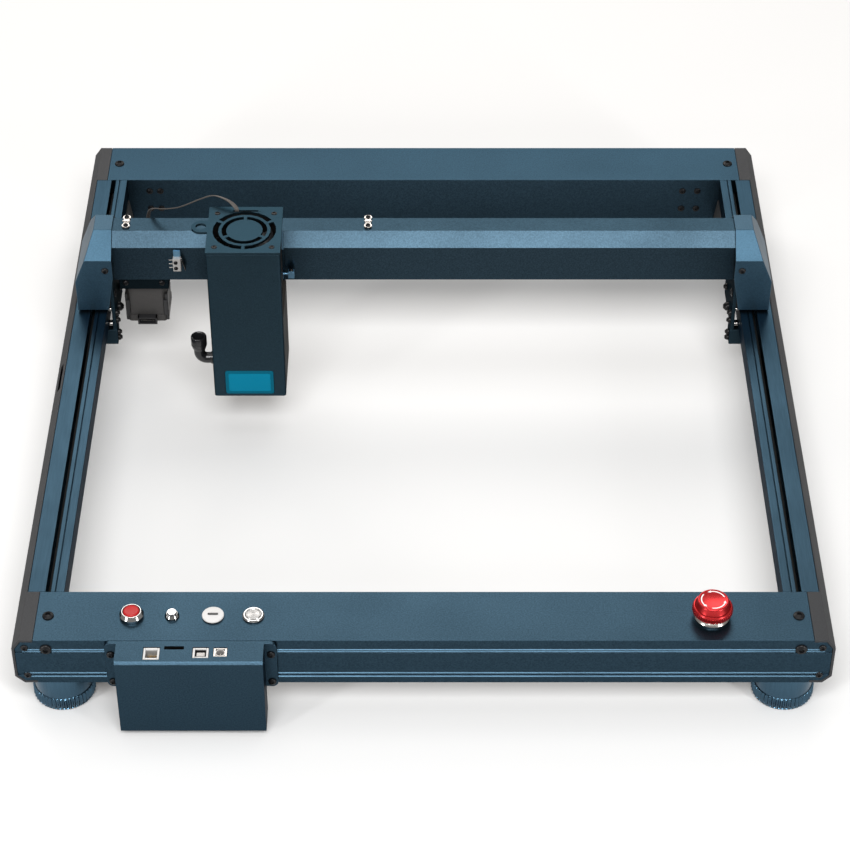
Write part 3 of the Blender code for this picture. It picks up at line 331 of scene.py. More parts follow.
def softened(node, material, width=0.4):
    """A CAD node with its material, and its edges broken by a narrow bevel."""
    obj = NODES[node]
    for place in obj.material_slots:
        place.material = material
    obj.data.shade_smooth()
    weld = obj.modifiers.new("weld", "WELD")
    weld.merge_threshold = 0.002 * MM
    if width:
        bevel = obj.modifiers.new("edges", "BEVEL")
        bevel.width = width * MM
        bevel.segments = 2
        bevel.limit_method = "ANGLE"
        bevel.angle_limit = math.radians(28)
    normals = obj.modifiers.new("normals", "WEIGHTED_NORMAL")
    normals.weight = 90


def rect_ring(bm, centre, outer, inner, low, high, edge=0.25):
    """Adds four walls round a rectangular hole."""
    (x, y), (wide, deep), (in_wide, in_deep) = centre, outer, inner
    wall_x, wall_y = (wide - in_wide) / 2, (deep - in_deep) / 2
    brick(bm, (x - wide / 2, y - deep / 2, low), (x - wide / 2 + wall_x, y + deep / 2, high), edge)
    brick(bm, (x + wide / 2 - wall_x, y - deep / 2, low), (x + wide / 2, y + deep / 2, high), edge)
    brick(bm, (x - in_wide / 2 - 0.1, y - deep / 2, low), (x + in_wide / 2 + 0.1, y - deep / 2 + wall_y, high), edge)
    brick(bm, (x - in_wide / 2 - 0.1, y + deep / 2 - wall_y, low), (x + in_wide / 2 + 0.1, y + deep / 2, high), edge)
    return bm


# ---------------------------------------------------------------- frame


def dress_frame():
    """The fixed frame's bars, rails, covers, belts, feet and screws."""
    softened("front_bar", blue, 0.5)
    softened("rear_bar", blue, 0.5)
    for side, sign in SIDES.items():
        softened(side + "_rail", blue_rail, 0.3)
        softened(side + "_side_cover", cover_grey, 0.4)
        softened("end_stop_" + side, rubber, 0.3)
        softened("y_belt_" + side, rubber, 0)
        for end, y in (("front", FRONT_MIDDLE), ("rear", REAR_MIDDLE)):
            foot(f"{end}_{side}", sign * FOOT_X, y)
    screws = bmesh.new()
    for sign in (-1, 1):
        for y in (FRONT_MIDDLE, REAR_MIDDLE):
            screw(screws, (sign * 271.5, y, BAR_TOP), (0, 0, 1), 4.2, 1.8)
        screw(screws, (sign * 271.3, FRONT_FACE, 67.3), (0, -1, 0), 4.4, 2.2)
        countersunk(screws, (sign * 271.3, REAR_FACE, 70.8), 3.4)
        for z in (68.6, 41.0):
            screw(screws, (sign * 286.6, FRONT_FACE, z), (0, -1, 0), 2.7, 1.4)
            countersunk(screws, (sign * 286.6, REAR_FACE, z), 2.4)
    piece("frame_screws", screws, screw_black, "frame")
    inner = bmesh.new()
    for x in (-243.4, -234.0, 230.2, 243.4):
        for z in (64.0, 45.2):
            screw(inner, (x, REAR_INNER, z), (0, -1, 0), 3.0, 1.4)
    piece("rear_bar_screws", inner, screw_black, "frame")
    softened("y_motor", motor_grey, 0.4)
    groove_ribs()


def countersunk(bm, at, radius):
    """Adds a screw head that faces the back and is flush with the face."""
    x, y, z = at
    head = [
        (0, y - 0.5), (radius, y - 0.5), (radius, y - 0.07), (radius * 0.9, y), (radius * 0.5, y, "hex"),
        (radius * 0.48, y - 0.3, "hex"), (0, y - 0.4),
    ]
    lathe(bm, head, "Y", (x, 0, z), 24)


def groove_ribs():
    """Bright lines along the grooves of the bars' outer faces: a sloped rib in each, and in front one beside it."""
    for name, face, out in (("front", FRONT_FACE, -1), ("rear", REAR_FACE, 1)):
        floor, skin = face - out * 0.95, face - out * 0.05
        ribs = bmesh.new()
        for low in (64.0, 42.2):
            slab(ribs, [(floor, low), (skin, low), (skin, low + 0.15), (floor, low + 0.85)], "X", -288.4, 288.4, 0)
        if out < 0:
            crest, root = face - 0.7, face + 0.3
            for low in (66.7, 39.4):
                slab(ribs, [(root, low), (crest, low), (crest, low + 0.15), (root, low + 0.95)], "X", -288.4, 288.4, 0)
        piece(name + "_bar_ribs", ribs, blue, "frame", (), 20)


def foot(place, x, y):
    """A turned foot with a knurled ring and a rubber pad below it."""
    profile = [
        (20.4, 0.9), (21.9, 0.9), (22.5, 1.5, "knurl"), (23.0, 2.1, "knurl"), (23.0, 9.4, "knurl"),
        (22.6, 10.4, "knurl"), (21.9, 11.2), (21.4, 11.5), (21.4, 31.6), (21.0, 32.7), (18.0, 32.7), (18.0, 0.9),
    ]
    body = lathe(bmesh.new(), profile, "Z", (x, y, 0), steps=440, ripple=(44, 0.06))
    piece("foot_" + place + "_turned", body, foot_blue, "frame", (f"foot_{place}",))
    pad = lathe(bmesh.new(), [(0, 0), (19.6, 0), (20.3, 0.7), (20.3, 1.6), (0, 1.6)], "Z", (x, y, 0), steps=64)
    piece("foot_" + place + "_pad", pad, rubber, "frame", ())


# ---------------------------------------------------------------- controls


def dress_controls():
    """The control box with its board and sockets, and the controls on the front bar."""
    softened("control_box", blue, 0.4)
    ears = bmesh.new()
    for x in (-224.6, -109.4):
        for z in (65.2, 37.6):
            screw(ears, (x, -303.3, z), (0, -1, 0), 3.0, 1.5)
    piece("control_box_screws", ears, screw_black, "frame")
    board = brick(bmesh.new(), (-214.0, -303.7, 12.0), (-120.0, -302.1, 57.8), 0.15)
    piece("circuit_board", board, board_green, "frame", ("control_board",))
    sockets()
    power_button()
    small_buttons()
    mode_switch()
    mushroom()


def sockets():
    """The four sockets in the control box's top, down to their hollows' floors."""
    shell = rect_ring(bmesh.new(), NETWORK, (11.4, 11.8), (8.6, 8.0), SOCKET_LOW, SOCKET_TOP)
    brick(shell, (-198.4, -316.8, SOCKET_LOW), (-189.4, -308.0, SOCKET_LOW + 4.6), 0.1)
    piece("network_socket", shell, white, "frame", ())
    pins = bmesh.new()
    for k in range(8):
        x = NETWORK[0] + (k - 3.5) * 0.9
        brick(pins, (x - 0.2, -309.2, 64.0), (x + 0.2, -308.6, 69.6), 0.05)
    piece("network_contacts", pins, gold, "frame")
    # A thin grey lining inside the network socket's walls and floor: painted shade in its hollow.
    shade_lining = rect_ring(bmesh.new(), NETWORK, (8.8, 8.2), (8.5, 7.9), 63.8, 74.6, 0.0)
    brick(shade_lining, (-198.1, -316.3, 63.5), (-189.7, -308.4, 63.9), 0.0)
    piece("network_shade_lining", shade_lining, switch_grey, "frame")
    # The card slot is painted shade: its walls and floor are near-black and reflect almost nothing.
    card = rect_ring(bmesh.new(), CARD, (13.5, 2.6), (11.5, 1.2), SOCKET_LOW, SOCKET_TOP, 0.1)
    brick(card, (-184.0, -307.6, SOCKET_LOW), (-172.0, -306.2, SOCKET_LOW + 5.0), 0.05)
    piece("card_slot", card, painted_shade_black, "frame")
    data = rect_ring(bmesh.new(), DATA, (11.2, 10.0), (8.2, 7.2), SOCKET_LOW, SOCKET_TOP)
    brick(data, (-163.0, -315.3, SOCKET_LOW), (-154.6, -307.9, SOCKET_LOW + 4.6), 0.1)
    piece("data_socket", data, white, "frame")
    tongue = brick(bmesh.new(), (-161.7, -313.4, 63.0), (-155.9, -309.7, 74.2), 0.25)
    piece("data_tongue", tongue, switch_grey, "frame")
    # A thin black lining inside the data socket's walls: painted shade in its hollow.
    shade_lining = rect_ring(bmesh.new(), DATA, (8.4, 7.4), (8.1, 7.1), 63.6, 74.8, 0.0)
    piece("data_shade_lining", shade_lining, black, "frame")
    supply = rect_ring(bmesh.new(), SUPPLY, (9.4, 8.3), (6.6, 6.6), SOCKET_LOW, SOCKET_TOP)
    piece("supply_socket", supply, nickel, "frame")
    barrel = lathe(
        bmesh.new(), [(0, 59.5), (3.6, 59.5), (3.6, 75.2), (2.9, 75.2), (2.8, 63.8), (0, 63.8)], "Z",
        (*SUPPLY, 0), steps=32,
    )
    piece("supply_barrel", barrel, switch_grey, "frame")
    pin = lathe(bmesh.new(), [(0, 63.0), (0.8, 63.0), (0.8, 73.0), (0.4, 73.6), (0, 73.7)], "Z", (*SUPPLY, 0), 16)
    piece("supply_pin", pin, nickel, "frame")


def bezel(name, x, profile, material, replaced):
    """A turned bezel round its button; heights are above the bar."""
    ring = [(r, BAR_TOP + h) for r, h in profile]
    shape = lathe(bmesh.new(), ring, "Z", (x, FRONT_MIDDLE, 0), steps=64)
    piece(name, shape, material, "frame", (replaced,))


def cap(name, x, profile, material, body, replaced):
    """A turned button top on its own body; heights are above the bar."""
    shape = lathe(bmesh.new(), [(r, BAR_TOP + h) for r, h in profile], "Z", (x, FRONT_MIDDLE, 0), steps=64)
    piece(name, shape, material, body, (replaced,))


def power_button():
    """The red domed button and its broad bezel."""
    ring = [
        (6.4, 4.9), (6.6, 5.2), (7.0, 5.2), (7.3, 4.9), (8.5, 2.7), (8.8, 2.3), (8.8, 0.3), (7.8, 0.1),
        (7.8, -18.0), (6.4, -18.0),
    ]
    bezel("power_ring", POWER_X, ring, chrome, "power_bezel")
    top = [
        (0, -4.0), (6.1, -4.0), (6.1, 4.3), (5.6, 5.5), (4.9, 5.95), (4.2, 5.8), (3.0, 5.65), (1.5, 5.55), (0, 5.5),
    ]
    cap("power_cap", POWER_X, top, red, "power_button", "power_button")


def small_buttons():
    """The narrow reset button, and the start button with its spun face."""
    ring = [
        (3.6, 2.9), (3.7, 3.0), (3.9, 3.0), (5.1, 1.2), (5.25, 0.9), (5.25, 0.3), (4.0, 0.1),
        (4.0, -18.0), (3.6, -18.0),
    ]
    bezel("reset_ring", RESET_X, ring, chrome, "reset_bezel")
    top = [(0, -4.0), (3.4, -4.0), (3.4, 4.1), (3.15, 4.5), (0, 4.5)]
    cap("reset_cap", RESET_X, top, steel, "reset_button", "reset_button")
    ring = [
        (6.0, 1.8), (6.2, 2.0), (7.0, 2.0), (7.3, 1.7), (7.5, 1.25), (7.9, 1.0), (7.95, 0.7), (7.95, 0.3), (6.3, 0.1),
        (6.3, -18.0), (6.0, -18.0),
    ]
    bezel("start_ring", START_X, ring, chrome, "start_bezel")
    top = [(0, -4.0), (5.7, -4.0), (5.7, 1.9), (5.4, 2.35), (4.9, 2.4), (4.6, 2.15), (0, 2.15)]
    cap("start_cap", START_X, top, spun, "start_button", "start_button")


def mode_switch():
    """The white selector disc and the black bar across it."""
    disc = [(0, -14.0), (6.0, -14.0), (6.0, 0.3), (7.5, 0.3), (7.9, 0.5), (7.95, 1.2), (7.6, 1.8), (7.0, 2.0), (0, 2.0)]
    cap("mode_disc", MODE_X, disc, white, "mode_switch", "mode_switch")
    low = (MODE_X - 3.8, FRONT_MIDDLE - 0.85, BAR_TOP + 1.5)
    bar = brick(bmesh.new(), low, (MODE_X + 3.8, FRONT_MIDDLE + 0.85, BAR_TOP + 2.9), 0.35)
    piece("mode_bar", bar, gloss_black, "mode_switch")


def mushroom():
    """The emergency stop: silver base, knurled skirt, coned top with a printed ring of three arrows."""
    ring = [
        (5.5, 4.0), (11.2, 4.0), (11.5, 3.7), (11.6, 3.1), (13.2, 1.5), (13.3, 1.2), (13.3, 0.3),
        (8.1, 0.1), (8.1, -20.0), (5.5, -20.0),
    ]
    bezel("stop_ring", STOP_X, ring, nickel, "stop_base")
    skirt = [
        (0, -16.0), (5.0, -16.0), (5.0, 8.6), (13.4, 8.6), (13.4, 5.7), (13.9, 5.4), (14.4, 5.6, "knurl"),
        (14.7, 6.0, "knurl"), (14.7, 9.4, "knurl"), (14.3, 9.7), (14.2, 10.2), (13.6, 10.9), (13.0, 11.0), (12.6, 10.2),
        (12.3, 10.6), (11.4, 15.4), (11.15, 16.0), (10.7, 16.4), (10.2, 16.5), (9.8, 16.35), (0, 16.3),
    ]
    shape = lathe(
        bmesh.new(), [(p[0], BAR_TOP + p[1], *p[2:]) for p in skirt], "Z", (STOP_X, FRONT_MIDDLE, 0), 460, (46, 0.065),
    )
    piece("stop_mushroom", shape, red_deep, "stop_head", ("stop_head",))
    marks = bmesh.new()
    for start in (20, 140, 260):
        arrow(marks, start, 78)
    piece("stop_arrows", marks, mark_white, "stop_head")


def arrow(bm, start, sweep):
    """Adds a curved arrow of print on the mushroom's top."""
    low, high = BAR_TOP + 16.28, BAR_TOP + 16.38
    inner, outer = 8.2, 9.0
    angles = [math.radians(start + sweep * k / 12) for k in range(13)]
    points = [(outer * math.cos(a), outer * math.sin(a)) for a in angles]
    tip = math.radians(start + sweep + 16)
    points += [(9.7 * math.cos(angles[-1]), 9.7 * math.sin(angles[-1])), (8.6 * math.cos(tip), 8.6 * math.sin(tip))]
    points += [(7.5 * math.cos(angles[-1]), 7.5 * math.sin(angles[-1]))]
    points += [(inner * math.cos(a), inner * math.sin(a)) for a in reversed(angles)]
    slab(bm, [(STOP_X + u, FRONT_MIDDLE + v) for u, v in points], "Z", low, high, 0)


# ---------------------------------------------------------------- drives and wheels


def toothed(middle, bore):
    """A flanged timing pulley's profile, for a lathe with one ripple per tooth."""
    low, high = middle - 3.3, middle + 3.3
    return [
        (bore, low - 1.2), (7.3, low - 1.2), (7.5, low - 1.0), (7.5, low - 0.3), (6.2, low), (5.1, low, "knurl"),
        (5.1, high, "knurl"), (6.2, high), (7.5, high + 0.3), (7.5, high + 1.0), (7.3, high + 1.2), (bore, high + 1.2),
    ]


def dress_drives():
    """The toothed pulleys of the belt drives, and the guide wheels."""
    profile = [(0, -288.0), (2.3, -288.0), (2.5, -287.7)]
    profile += toothed(-PULLEY_X, 2.5) + toothed(PULLEY_X, 2.5) + [(2.5, 287.7), (2.3, 288.0), (0, 288.0)]
    shaft = lathe(bmesh.new(), profile, "X", (0, REAR_MIDDLE, DRIVE_Z), 128, TEETH)
    piece("y_shaft_toothed", shaft, steel, "y_drive_shaft", ("y_drive_shaft",))
    for side, sign in SIDES.items():
        pulley = lathe(bmesh.new(), toothed(sign * PULLEY_X, 2.7), "X", (0, FRONT_MIDDLE, DRIVE_Z), 128, TEETH)
        name = "y_idler_" + side
        piece(name + "_toothed", pulley, steel, name, (name,))
    drive = [(0, 80.0), (2.5, 80.0), *toothed(X_BELT_Z, 2.5), (2.5, 133.0), (0, 133.0)]
    shape = lathe(bmesh.new(), drive, "Z", (MOTOR_X, BELT_AXIS_Y, 0), 128, TEETH)
    piece("x_drive_toothed", shape, steel, "x_drive_pulley", ("x_drive_pulley",))
    shape = lathe(bmesh.new(), toothed(X_BELT_Z, 2.7), "Z", (236.0, BELT_AXIS_Y, 0), 128, TEETH)
    piece("x_idler_toothed", shape, steel, "x_idler_pulley", ("x_idler_pulley",))
    softened("x_belt", rubber, 0)
    for side, sign in SIDES.items():
        for end, y in (("front", 97.05), ("rear", 125.05)):
            wheel(f"y_wheel_{side}_{end}", "X", (0, y, Y_WHEEL_Z), sign * PULLEY_X, 11.0)
    for which, x, y in (("left", MODULE_X - 21, 101.7), ("right", MODULE_X + 21, 101.7), ("rear", MODULE_X, 120.4)):
        wheel("x_wheel_" + which, "Z", (x, y, 0), 110.4, 7.6)


def wheel(node, axis, centre, middle, radius):
    """A guide wheel: a moulded tyre with a groove in each side, and the bearing in its middle."""
    crown, half = radius - 2.9, 4.0
    tyre = [
        (4.6, middle - half + 0.2), (crown * 0.72, middle - half), (crown, middle - half), (radius - 0.3, middle - 1.2),
        (radius, middle - 0.9), (radius, middle + 0.9), (radius - 0.3, middle + 1.2), (crown, middle + half),
        (crown * 0.72, middle + half), (4.6, middle + half - 0.2),
    ]
    piece(node + "_tyre", lathe(bmesh.new(), tyre, axis, centre, 64), black, node, (node,))
    bearing = [
        (2.7, middle - half + 0.3), (3.3, middle - half + 0.2), (3.5, middle - half + 0.6), (4.1, middle - half + 0.6),
        (4.3, middle - half + 0.1), (4.55, middle - half + 0.3), (4.55, middle + half - 0.3),
        (4.3, middle + half - 0.1), (4.1, middle + half - 0.6), (3.5, middle + half - 0.6),
        (3.3, middle + half - 0.2), (2.7, middle + half - 0.3),
    ]
    piece(node + "_bearing", lathe(bmesh.new(), bearing, axis, centre, 48), steel, node, ())


# ---------------------------------------------------------------- gantry


def dress_gantry():
    """The beam, its end covers, plates and guide blocks, and what is fixed to them."""
    softened("x_beam", beam_blue, 0.5)
    softened("motor_bracket", bracket_blue, 0.3)
    screws, bolts, pins = bmesh.new(), bmesh.new(), bmesh.new()
    for side, sign in SIDES.items():
        softened("gantry_cover_" + side, cover_blue, 0.4)
        softened("gantry_plate_" + side, module_blue, 0.3)
        softened("guide_block_" + side, module_blue, 0.4)
        screw(screws, (sign * 260.9, GANTRY_FRONT, 118.5), (0, -1, 0), 2.9, 1.5)
        screw(screws, (sign * 260.9, GANTRY_BACK, 118.5), (0, 1, 0), 2.9, 1.5)
        inner = sign * PLATE_INNER
        for y, z, radius, height in (
            (105.5, 64.0, 3.9, 4.6), (88.6, 70.4, 2.5, 3.4), (88.6, 62.8, 2.5, 3.4), (94.0, 87.4, 3.6, 1.2),
            (125.0, 70.0, 3.0, 3.0),
        ):
            screw(bolts, (inner, y, z), (-sign, 0, 0), radius, height)
        for z in (49.2, 43.4):
            screw(bolts, (sign * 256.0, 90.2, z), (-sign, 0, 0), 2.6, 3.2)
        low, high = sorted((sign * 258.9, sign * 262.4))
        rod = [(0, low), (1.5, low), (1.9, low + 0.4), (1.9, high - 0.4), (1.5, high), (0, high)]
        for z in (75.6, 60.4):
            lathe(pins, rod, "X", (0, 86.8, z), 24)
    piece("gantry_cover_screws", screws, screw_black, "gantry")
    piece("gantry_plate_bolts", bolts, screw_black, "gantry")
    piece("gantry_guide_pins", pins, nickel, "gantry")
    for name, x in (("left", -244.0), ("middle", -45.5)):
        clip(name, x)
    motor()
    limit_switch()


def clip(place, x):
    """A stamped cable clip on the beam: two round lobes on a stepped strip, held by two screws."""
    top = BEAM_TOP
    strip = bmesh.new()
    slab(strip, [(x - 2.3, 106.0), (x + 2.3, 106.0), (x + 2.3, 120.5), (x - 2.3, 120.5)], "Z", top, top + 1.1, 0.25)
    for y, height in ((107.6, 1.6), (119.3, 1.3)):
        outline = [(x + 3.2 * math.cos(a), y + 3.2 * math.sin(a)) for a in (math.pi * k / 12 for k in range(24))]
        slab(strip, outline, "Z", top, top + height, 0.3)
    slab(strip, [(x - 3.1, 112.4), (x + 3.1, 112.4), (x + 3.1, 114.2), (x - 3.1, 114.2)], "Z", top, top + 2.3, 0.5)
    piece(f"clip_{place}", strip, nickel, "gantry")
    screws = screw(bmesh.new(), (x, 107.6, top + 1.6), (0, 0, 1), 2.1, 1.2)
    screw(screws, (x, 119.3, top + 1.3), (0, 0, 1), 2.1, 1.2)
    piece(f"clip_{place}_screws", screws, screw_black, "gantry")


def octagon(half, cut):
    """The motor's square outline with its corners cut."""
    points = [(half, cut - half), (half, half - cut), (half - cut, half), (cut - half, half)]
    points += [(-u, -v) for u, v in points]
    return [(MOTOR_X + u, BELT_AXIS_Y + v) for u, v in points]


def motor():
    """The stepper: laminated middle, cast ends, corner clips and its socket."""
    low, high = 52.0, 89.8
    middle = slab(bmesh.new(), octagon(17.2, 3.6), "Z", low + 7.0, high - 7.0, 0.1)
    piece("x_motor_stack", middle, motor_grey, "gantry", ("x_motor",))
    ends = slab(bmesh.new(), octagon(17.6, 3.2), "Z", low, low + 7.4, 0.5)
    slab(ends, octagon(17.6, 3.2), "Z", high - 7.4, high, 0.5)
    lathe(ends, [(0, high - 1), (11.0, high - 1), (11.0, high + 1.3), (10.6, high + 1.6), (0, high + 1.6)], "Z",
          (MOTOR_X, BELT_AXIS_Y, 0), 48)
    piece("x_motor_ends", ends, motor_grey, "gantry")
    front = BELT_AXIS_Y - 17.6
    clips = bmesh.new()
    for sign in (-1, 1):
        low_x, high_x = sorted((MOTOR_X + sign * 14.2, MOTOR_X + sign * 17.5))
        brick(clips, (low_x, front - 0.5, 58.5), (high_x, front + 4.0, 74.5), 0.3)
        low_x, high_x = sorted((MOTOR_X + sign * 15.8, MOTOR_X + sign * 17.9))
        brick(clips, (low_x, front + 0.6, 53.0), (high_x, front + 8.0, 80.0), 0.3)
    piece("x_motor_clips", clips, black, "gantry")
    plug = bmesh.new()
    x_low, x_high = MOTOR_X - 8, MOTOR_X + 8
    y_low = front - 4.5
    brick(plug, (x_low, y_low, low), (x_high, front + 1, low + 1.2), 0.2)
    brick(plug, (x_low, y_low, low + 5.8), (x_high, front + 1, low + 7), 0.2)
    brick(plug, (x_low, y_low, low), (x_low + 1.2, front + 1, low + 7), 0.2)
    brick(plug, (x_high - 1.2, y_low, low), (x_high, front + 1, low + 7), 0.2)
    brick(plug, (x_low + 1, front - 0.8, low + 1), (x_high - 1, front + 1, low + 6), 0.0)
    piece("x_motor_socket", plug, black, "gantry")
    pins = bmesh.new()
    for k in range(6):
        x = MOTOR_X + (k - 2.5) * 2.0
        brick(pins, (x - 0.25, y_low + 1.0, low + 3.2), (x + 0.25, front - 0.5, low + 3.7), 0.05)
    piece("x_motor_pins", pins, nickel, "gantry")
    screws = bmesh.new()
    for x in (-246.6, -216.6):
        screw(screws, (x, 95.4, 96.4), (0, -1, 0), 2.5, 1.3)
    piece("motor_bracket_screws", screws, screw_black, "gantry")


def limit_switch():
    """The limit switch: pale body with two screws, blue tab and three terminals."""
    low_x, high_x = -205.3, -198.8
    body = brick(bmesh.new(), (low_x, 86.0, 115.0), (high_x, 91.8, 127.2), 0.4)
    piece("switch_body", body, switch_grey, "gantry", ("limit_switch",))
    tab = brick(bmesh.new(), (low_x + 0.5, 90.2, 124.0), (high_x - 0.3, 91.8, 133.4), 0.4)
    piece("switch_tab", tab, light_blue, "gantry")
    pins, screws = bmesh.new(), bmesh.new()
    for z in (117.0, 120.8, 124.6):
        brick(pins, (low_x - 3.4, 88.4, z), (low_x + 1, 89.1, z + 0.8), 0.1)
    for z in (118.3, 124.0):
        screw(screws, (low_x + 2.4, 86.0, z), (0, -1, 0), 1.7, 1.0)
    piece("switch_terminals", pins, nickel, "gantry")
    piece("switch_screws", screws, screw_black, "gantry")
    softened("switch_lever", nickel, 0)


# ---------------------------------------------------------------- carriage and laser module


def dress_carriage():
    """The saddle on the beam, and the screw that clamps the module's height."""
    softened("x_carriage", blue, 0.3)
    softened("focus_lock", light_blue, 0.3)
    head = screw(bmesh.new(), (-117.6, LOCK_Y, LOCK_Z), (0, 0, 1), 2.1, 2.4)
    piece("lock_screw", head, screw_black, "carriage")
    knob = screw(bmesh.new(), (-108.6, LOCK_Y, LOCK_Z), (0, 0, 1), 1.8, 1.6)
    piece("lock_knob", knob, screw_black, "focus_lock")
    lug = brick(bmesh.new(), (-120.6, 83.6, 109.2), (-114.9, 84.4, 116.0), 0.2)
    piece("lock_face", lug, light_blue, "carriage")


def dress_module():
    """The laser module's sheets, core, window, top screws and cable slot, with painted shade behind the window and in
    the slot.
    """
    softened("module_front", module_blue, 0.4)
    softened("module_top", module_blue, 0.5)
    softened("module_core", core_grey, 0.4)
    softened("window_pane", teal_dark, 0.2)
    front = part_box("window_pane")[0][1] / MM
    outline = rounded((MODULE_X - 16.9, MODULE_X + 16.9), (49.1, 67.2), 1.4)
    glass = slab(bmesh.new(), outline, "Y", front - 0.12, front + 1, 0.1)
    piece("window_glass", glass, teal, "module", ())
    # A black frame just behind the pane. It blocks light through the gap round the window, and its black is painted
    # shade inside the module.
    shade_frame = bmesh.new()
    for x_low, x_high, z_low, z_high in (
        (-22.0, -19.3, 44.4, 72.0), (19.3, 22.0, 44.4, 72.0), (-19.5, 19.5, 44.4, 46.5), (-19.5, 19.5, 69.8, 72.0),
    ):
        brick(shade_frame, (MODULE_X + x_low, 14.35, z_low), (MODULE_X + x_high, 14.75, z_high), 0)
    piece("window_shade_frame", shade_frame, rubber, "module", ())
    screws = bmesh.new()
    for u in (-22.5, 22.5):
        for v in (-22.5, 22.5):
            screw(screws, (MODULE_X + u, FAN_Y + v, MODULE_TOP - 0.1), (0, 0, 1), 2.3, 0.7)
    piece("module_top_screws", screws, screw_black, "module")
    # The cable slot's floor is a near-black, unreflecting slab: painted shade in the slot.
    slot_painted_shade = slab(bmesh.new(), stadium(-151.9, -131.5, 67.5, 69.1), "Z", 186.9, 188.4, 0)
    piece("cable_slot_painted_shade", slot_painted_shade, painted_shade_black, "module")
    lens_and_nozzle()
    fan()
    elbow()


def rounded(across, up, radius):
    """A rectangle's outline with round corners, from its two spans."""
    points = []
    for x, y, start in (
        (across[1] - radius, up[0] + radius, 270), (across[1] - radius, up[1] - radius, 0),
        (across[0] + radius, up[1] - radius, 90), (across[0] + radius, up[0] + radius, 180),
    ):
        for k in range(6):
            angle = math.radians(start + 18 * k)
            points.append((x + radius * math.cos(angle), y + radius * math.sin(angle)))
    return points


def stadium(low_x, high_x, low_y, high_y):
    """A slot's outline with round ends."""
    radius, middle = (high_y - low_y) / 2, (low_y + high_y) / 2
    right = [(-90 + 22.5 * k) for k in range(9)]
    points = [(high_x - radius + radius * math.cos(math.radians(a)), middle + radius * math.sin(math.radians(a)))
              for a in right]
    return points + [(low_x + radius - radius * math.cos(math.radians(a)), middle - radius * math.sin(math.radians(a)))
                     for a in right]


def lens_and_nozzle():
    """The lens barrel, which narrows to the nozzle, and the glass inside it."""
    profile = [
        (1.6, 73.5), (10.7, 73.5), (10.7, 56.0), (10.3, 55.6), (10.3, 54.6), (10.7, 54.2), (10.7, 44.6), (10.2, 43.9),
        (9.0, 43.2), (9.0, 41.4), (8.6, 41.0), (8.6, 40.0), (9.0, 39.6), (9.0, 38.0), (4.3, 33.3), (3.8, 33.0),
        (1.9, 33.0), (1.6, 33.4),
    ]
    barrel = lathe(bmesh.new(), profile, "Z", (MODULE_X, FAN_Y, 0), 64)
    piece("lens_nozzle", barrel, steel, "module", ("lens_barrel",))
    glass = lathe(bmesh.new(), [(0, 39.0), (1.7, 39.0), (1.7, 40.0), (0, 40.4)], "Z", (MODULE_X, FAN_Y, 0), 24)
    piece("lens_glass", glass, lens_glass, "module")


def fan():
    """The fan: a hub with a flat cap and seven swept blades."""
    low, high = 173.0, 184.0
    hub = [
        (2.3, low + 0.6), (12.6, low + 0.6), (13.0, low + 1.0), (13.0, high - 1.6), (12.4, high - 0.6),
        (11.4, high), (6.6, high), (6.2, high - 0.3), (2.3, high - 0.3),
    ]
    rotor = lathe(bmesh.new(), hub, "Z", (MODULE_X, FAN_Y, 0), 64)
    across, along = 6, 8
    for blade in range(7):
        rows = []
        for i in range(along + 1):
            radius = 12.6 + (23.4 - 12.6) * i / along
            sweep = 2 * math.pi * blade / 7 + 0.30 * (i / along) ** 1.4
            row = []
            for j in range(across + 1):
                share = j / across - 0.5
                turn = sweep + share * (0.62 - 0.12 * i / along)
                height = (low + high) / 2 + share * 8.4 + 1.1 * (0.25 - share * share)
                row.append((radius * math.cos(turn), radius * math.sin(turn), height))
            rows.append(row)
        for lift in (0.0, -0.9):
            grid = [[rotor.verts.new((MODULE_X + x, FAN_Y + y, z + lift)) for x, y, z in row] for row in rows]
            for here, there in zip(grid, grid[1:]):
                for j in range(across):
                    rotor.faces.new((here[j], here[j + 1], there[j + 1], there[j]))
            if lift:
                close_blade(rotor, top, grid)
            top = grid
    piece("fan_blades", rotor, black, "fan_rotor", ("fan_rotor",))


def close_blade(bm, top, bottom):
    """Joins a blade's two skins along its outer, leading and trailing edges."""
    edge = [(i, 0) for i in range(len(top))] + [(len(top) - 1, j) for j in range(1, len(top[0]))]
    edge += [(i, len(top[0]) - 1) for i in range(len(top) - 2, -1, -1)]
    for (i, j), (k, m) in zip(edge, edge[1:]):
        bm.faces.new((top[i][j], top[k][m], bottom[k][m], bottom[i][j]))


def elbow():
    """The air elbow: a collar at the module, a round bend and an open ribbed cup."""
    x, y, z = ELBOW
    bend = 6.0
    path = [(-170.8, y, z), (-174.0, y, z), (x + bend, y, z)]
    turns = [math.pi / 16 * k for k in range(1, 9)]
    path += [(x + bend - bend * math.sin(a), y, z + bend - bend * math.cos(a)) for a in turns]
    path += [(x, y, z + 9.0), (x, y, z + 11.2)]
    shape = tube(bmesh.new(), path, 4.6, 32)
    collar = [(2.6, -170.7), (4.9, -170.7), (5.3, -171.2), (5.3, -173.4), (4.9, -173.9), (2.6, -173.9)]
    lathe(shape, collar, "X", (0, y, z), 48)
    cup = [
        (4.4, z + 10.4), (5.2, z + 10.0), (5.6, z + 11.0), (6.35, z + 13.6), (6.45, z + 14.6), (6.15, z + 15.0),
        (6.15, z + 15.7), (6.45, z + 16.1), (6.45, z + 21.6), (6.1, z + 22.4), (5.6, z + 22.6), (5.1, z + 22.3),
        (4.7, z + 21.6), (4.6, z + 12.4), (4.4, z + 11.6),
    ]
    lathe(shape, cup, "Z", (x, y, 0), 48)
    piece("air_elbow_bent", shape, gloss_black, "module", ("air_elbow",))


# ---------------------------------------------------------------- cable

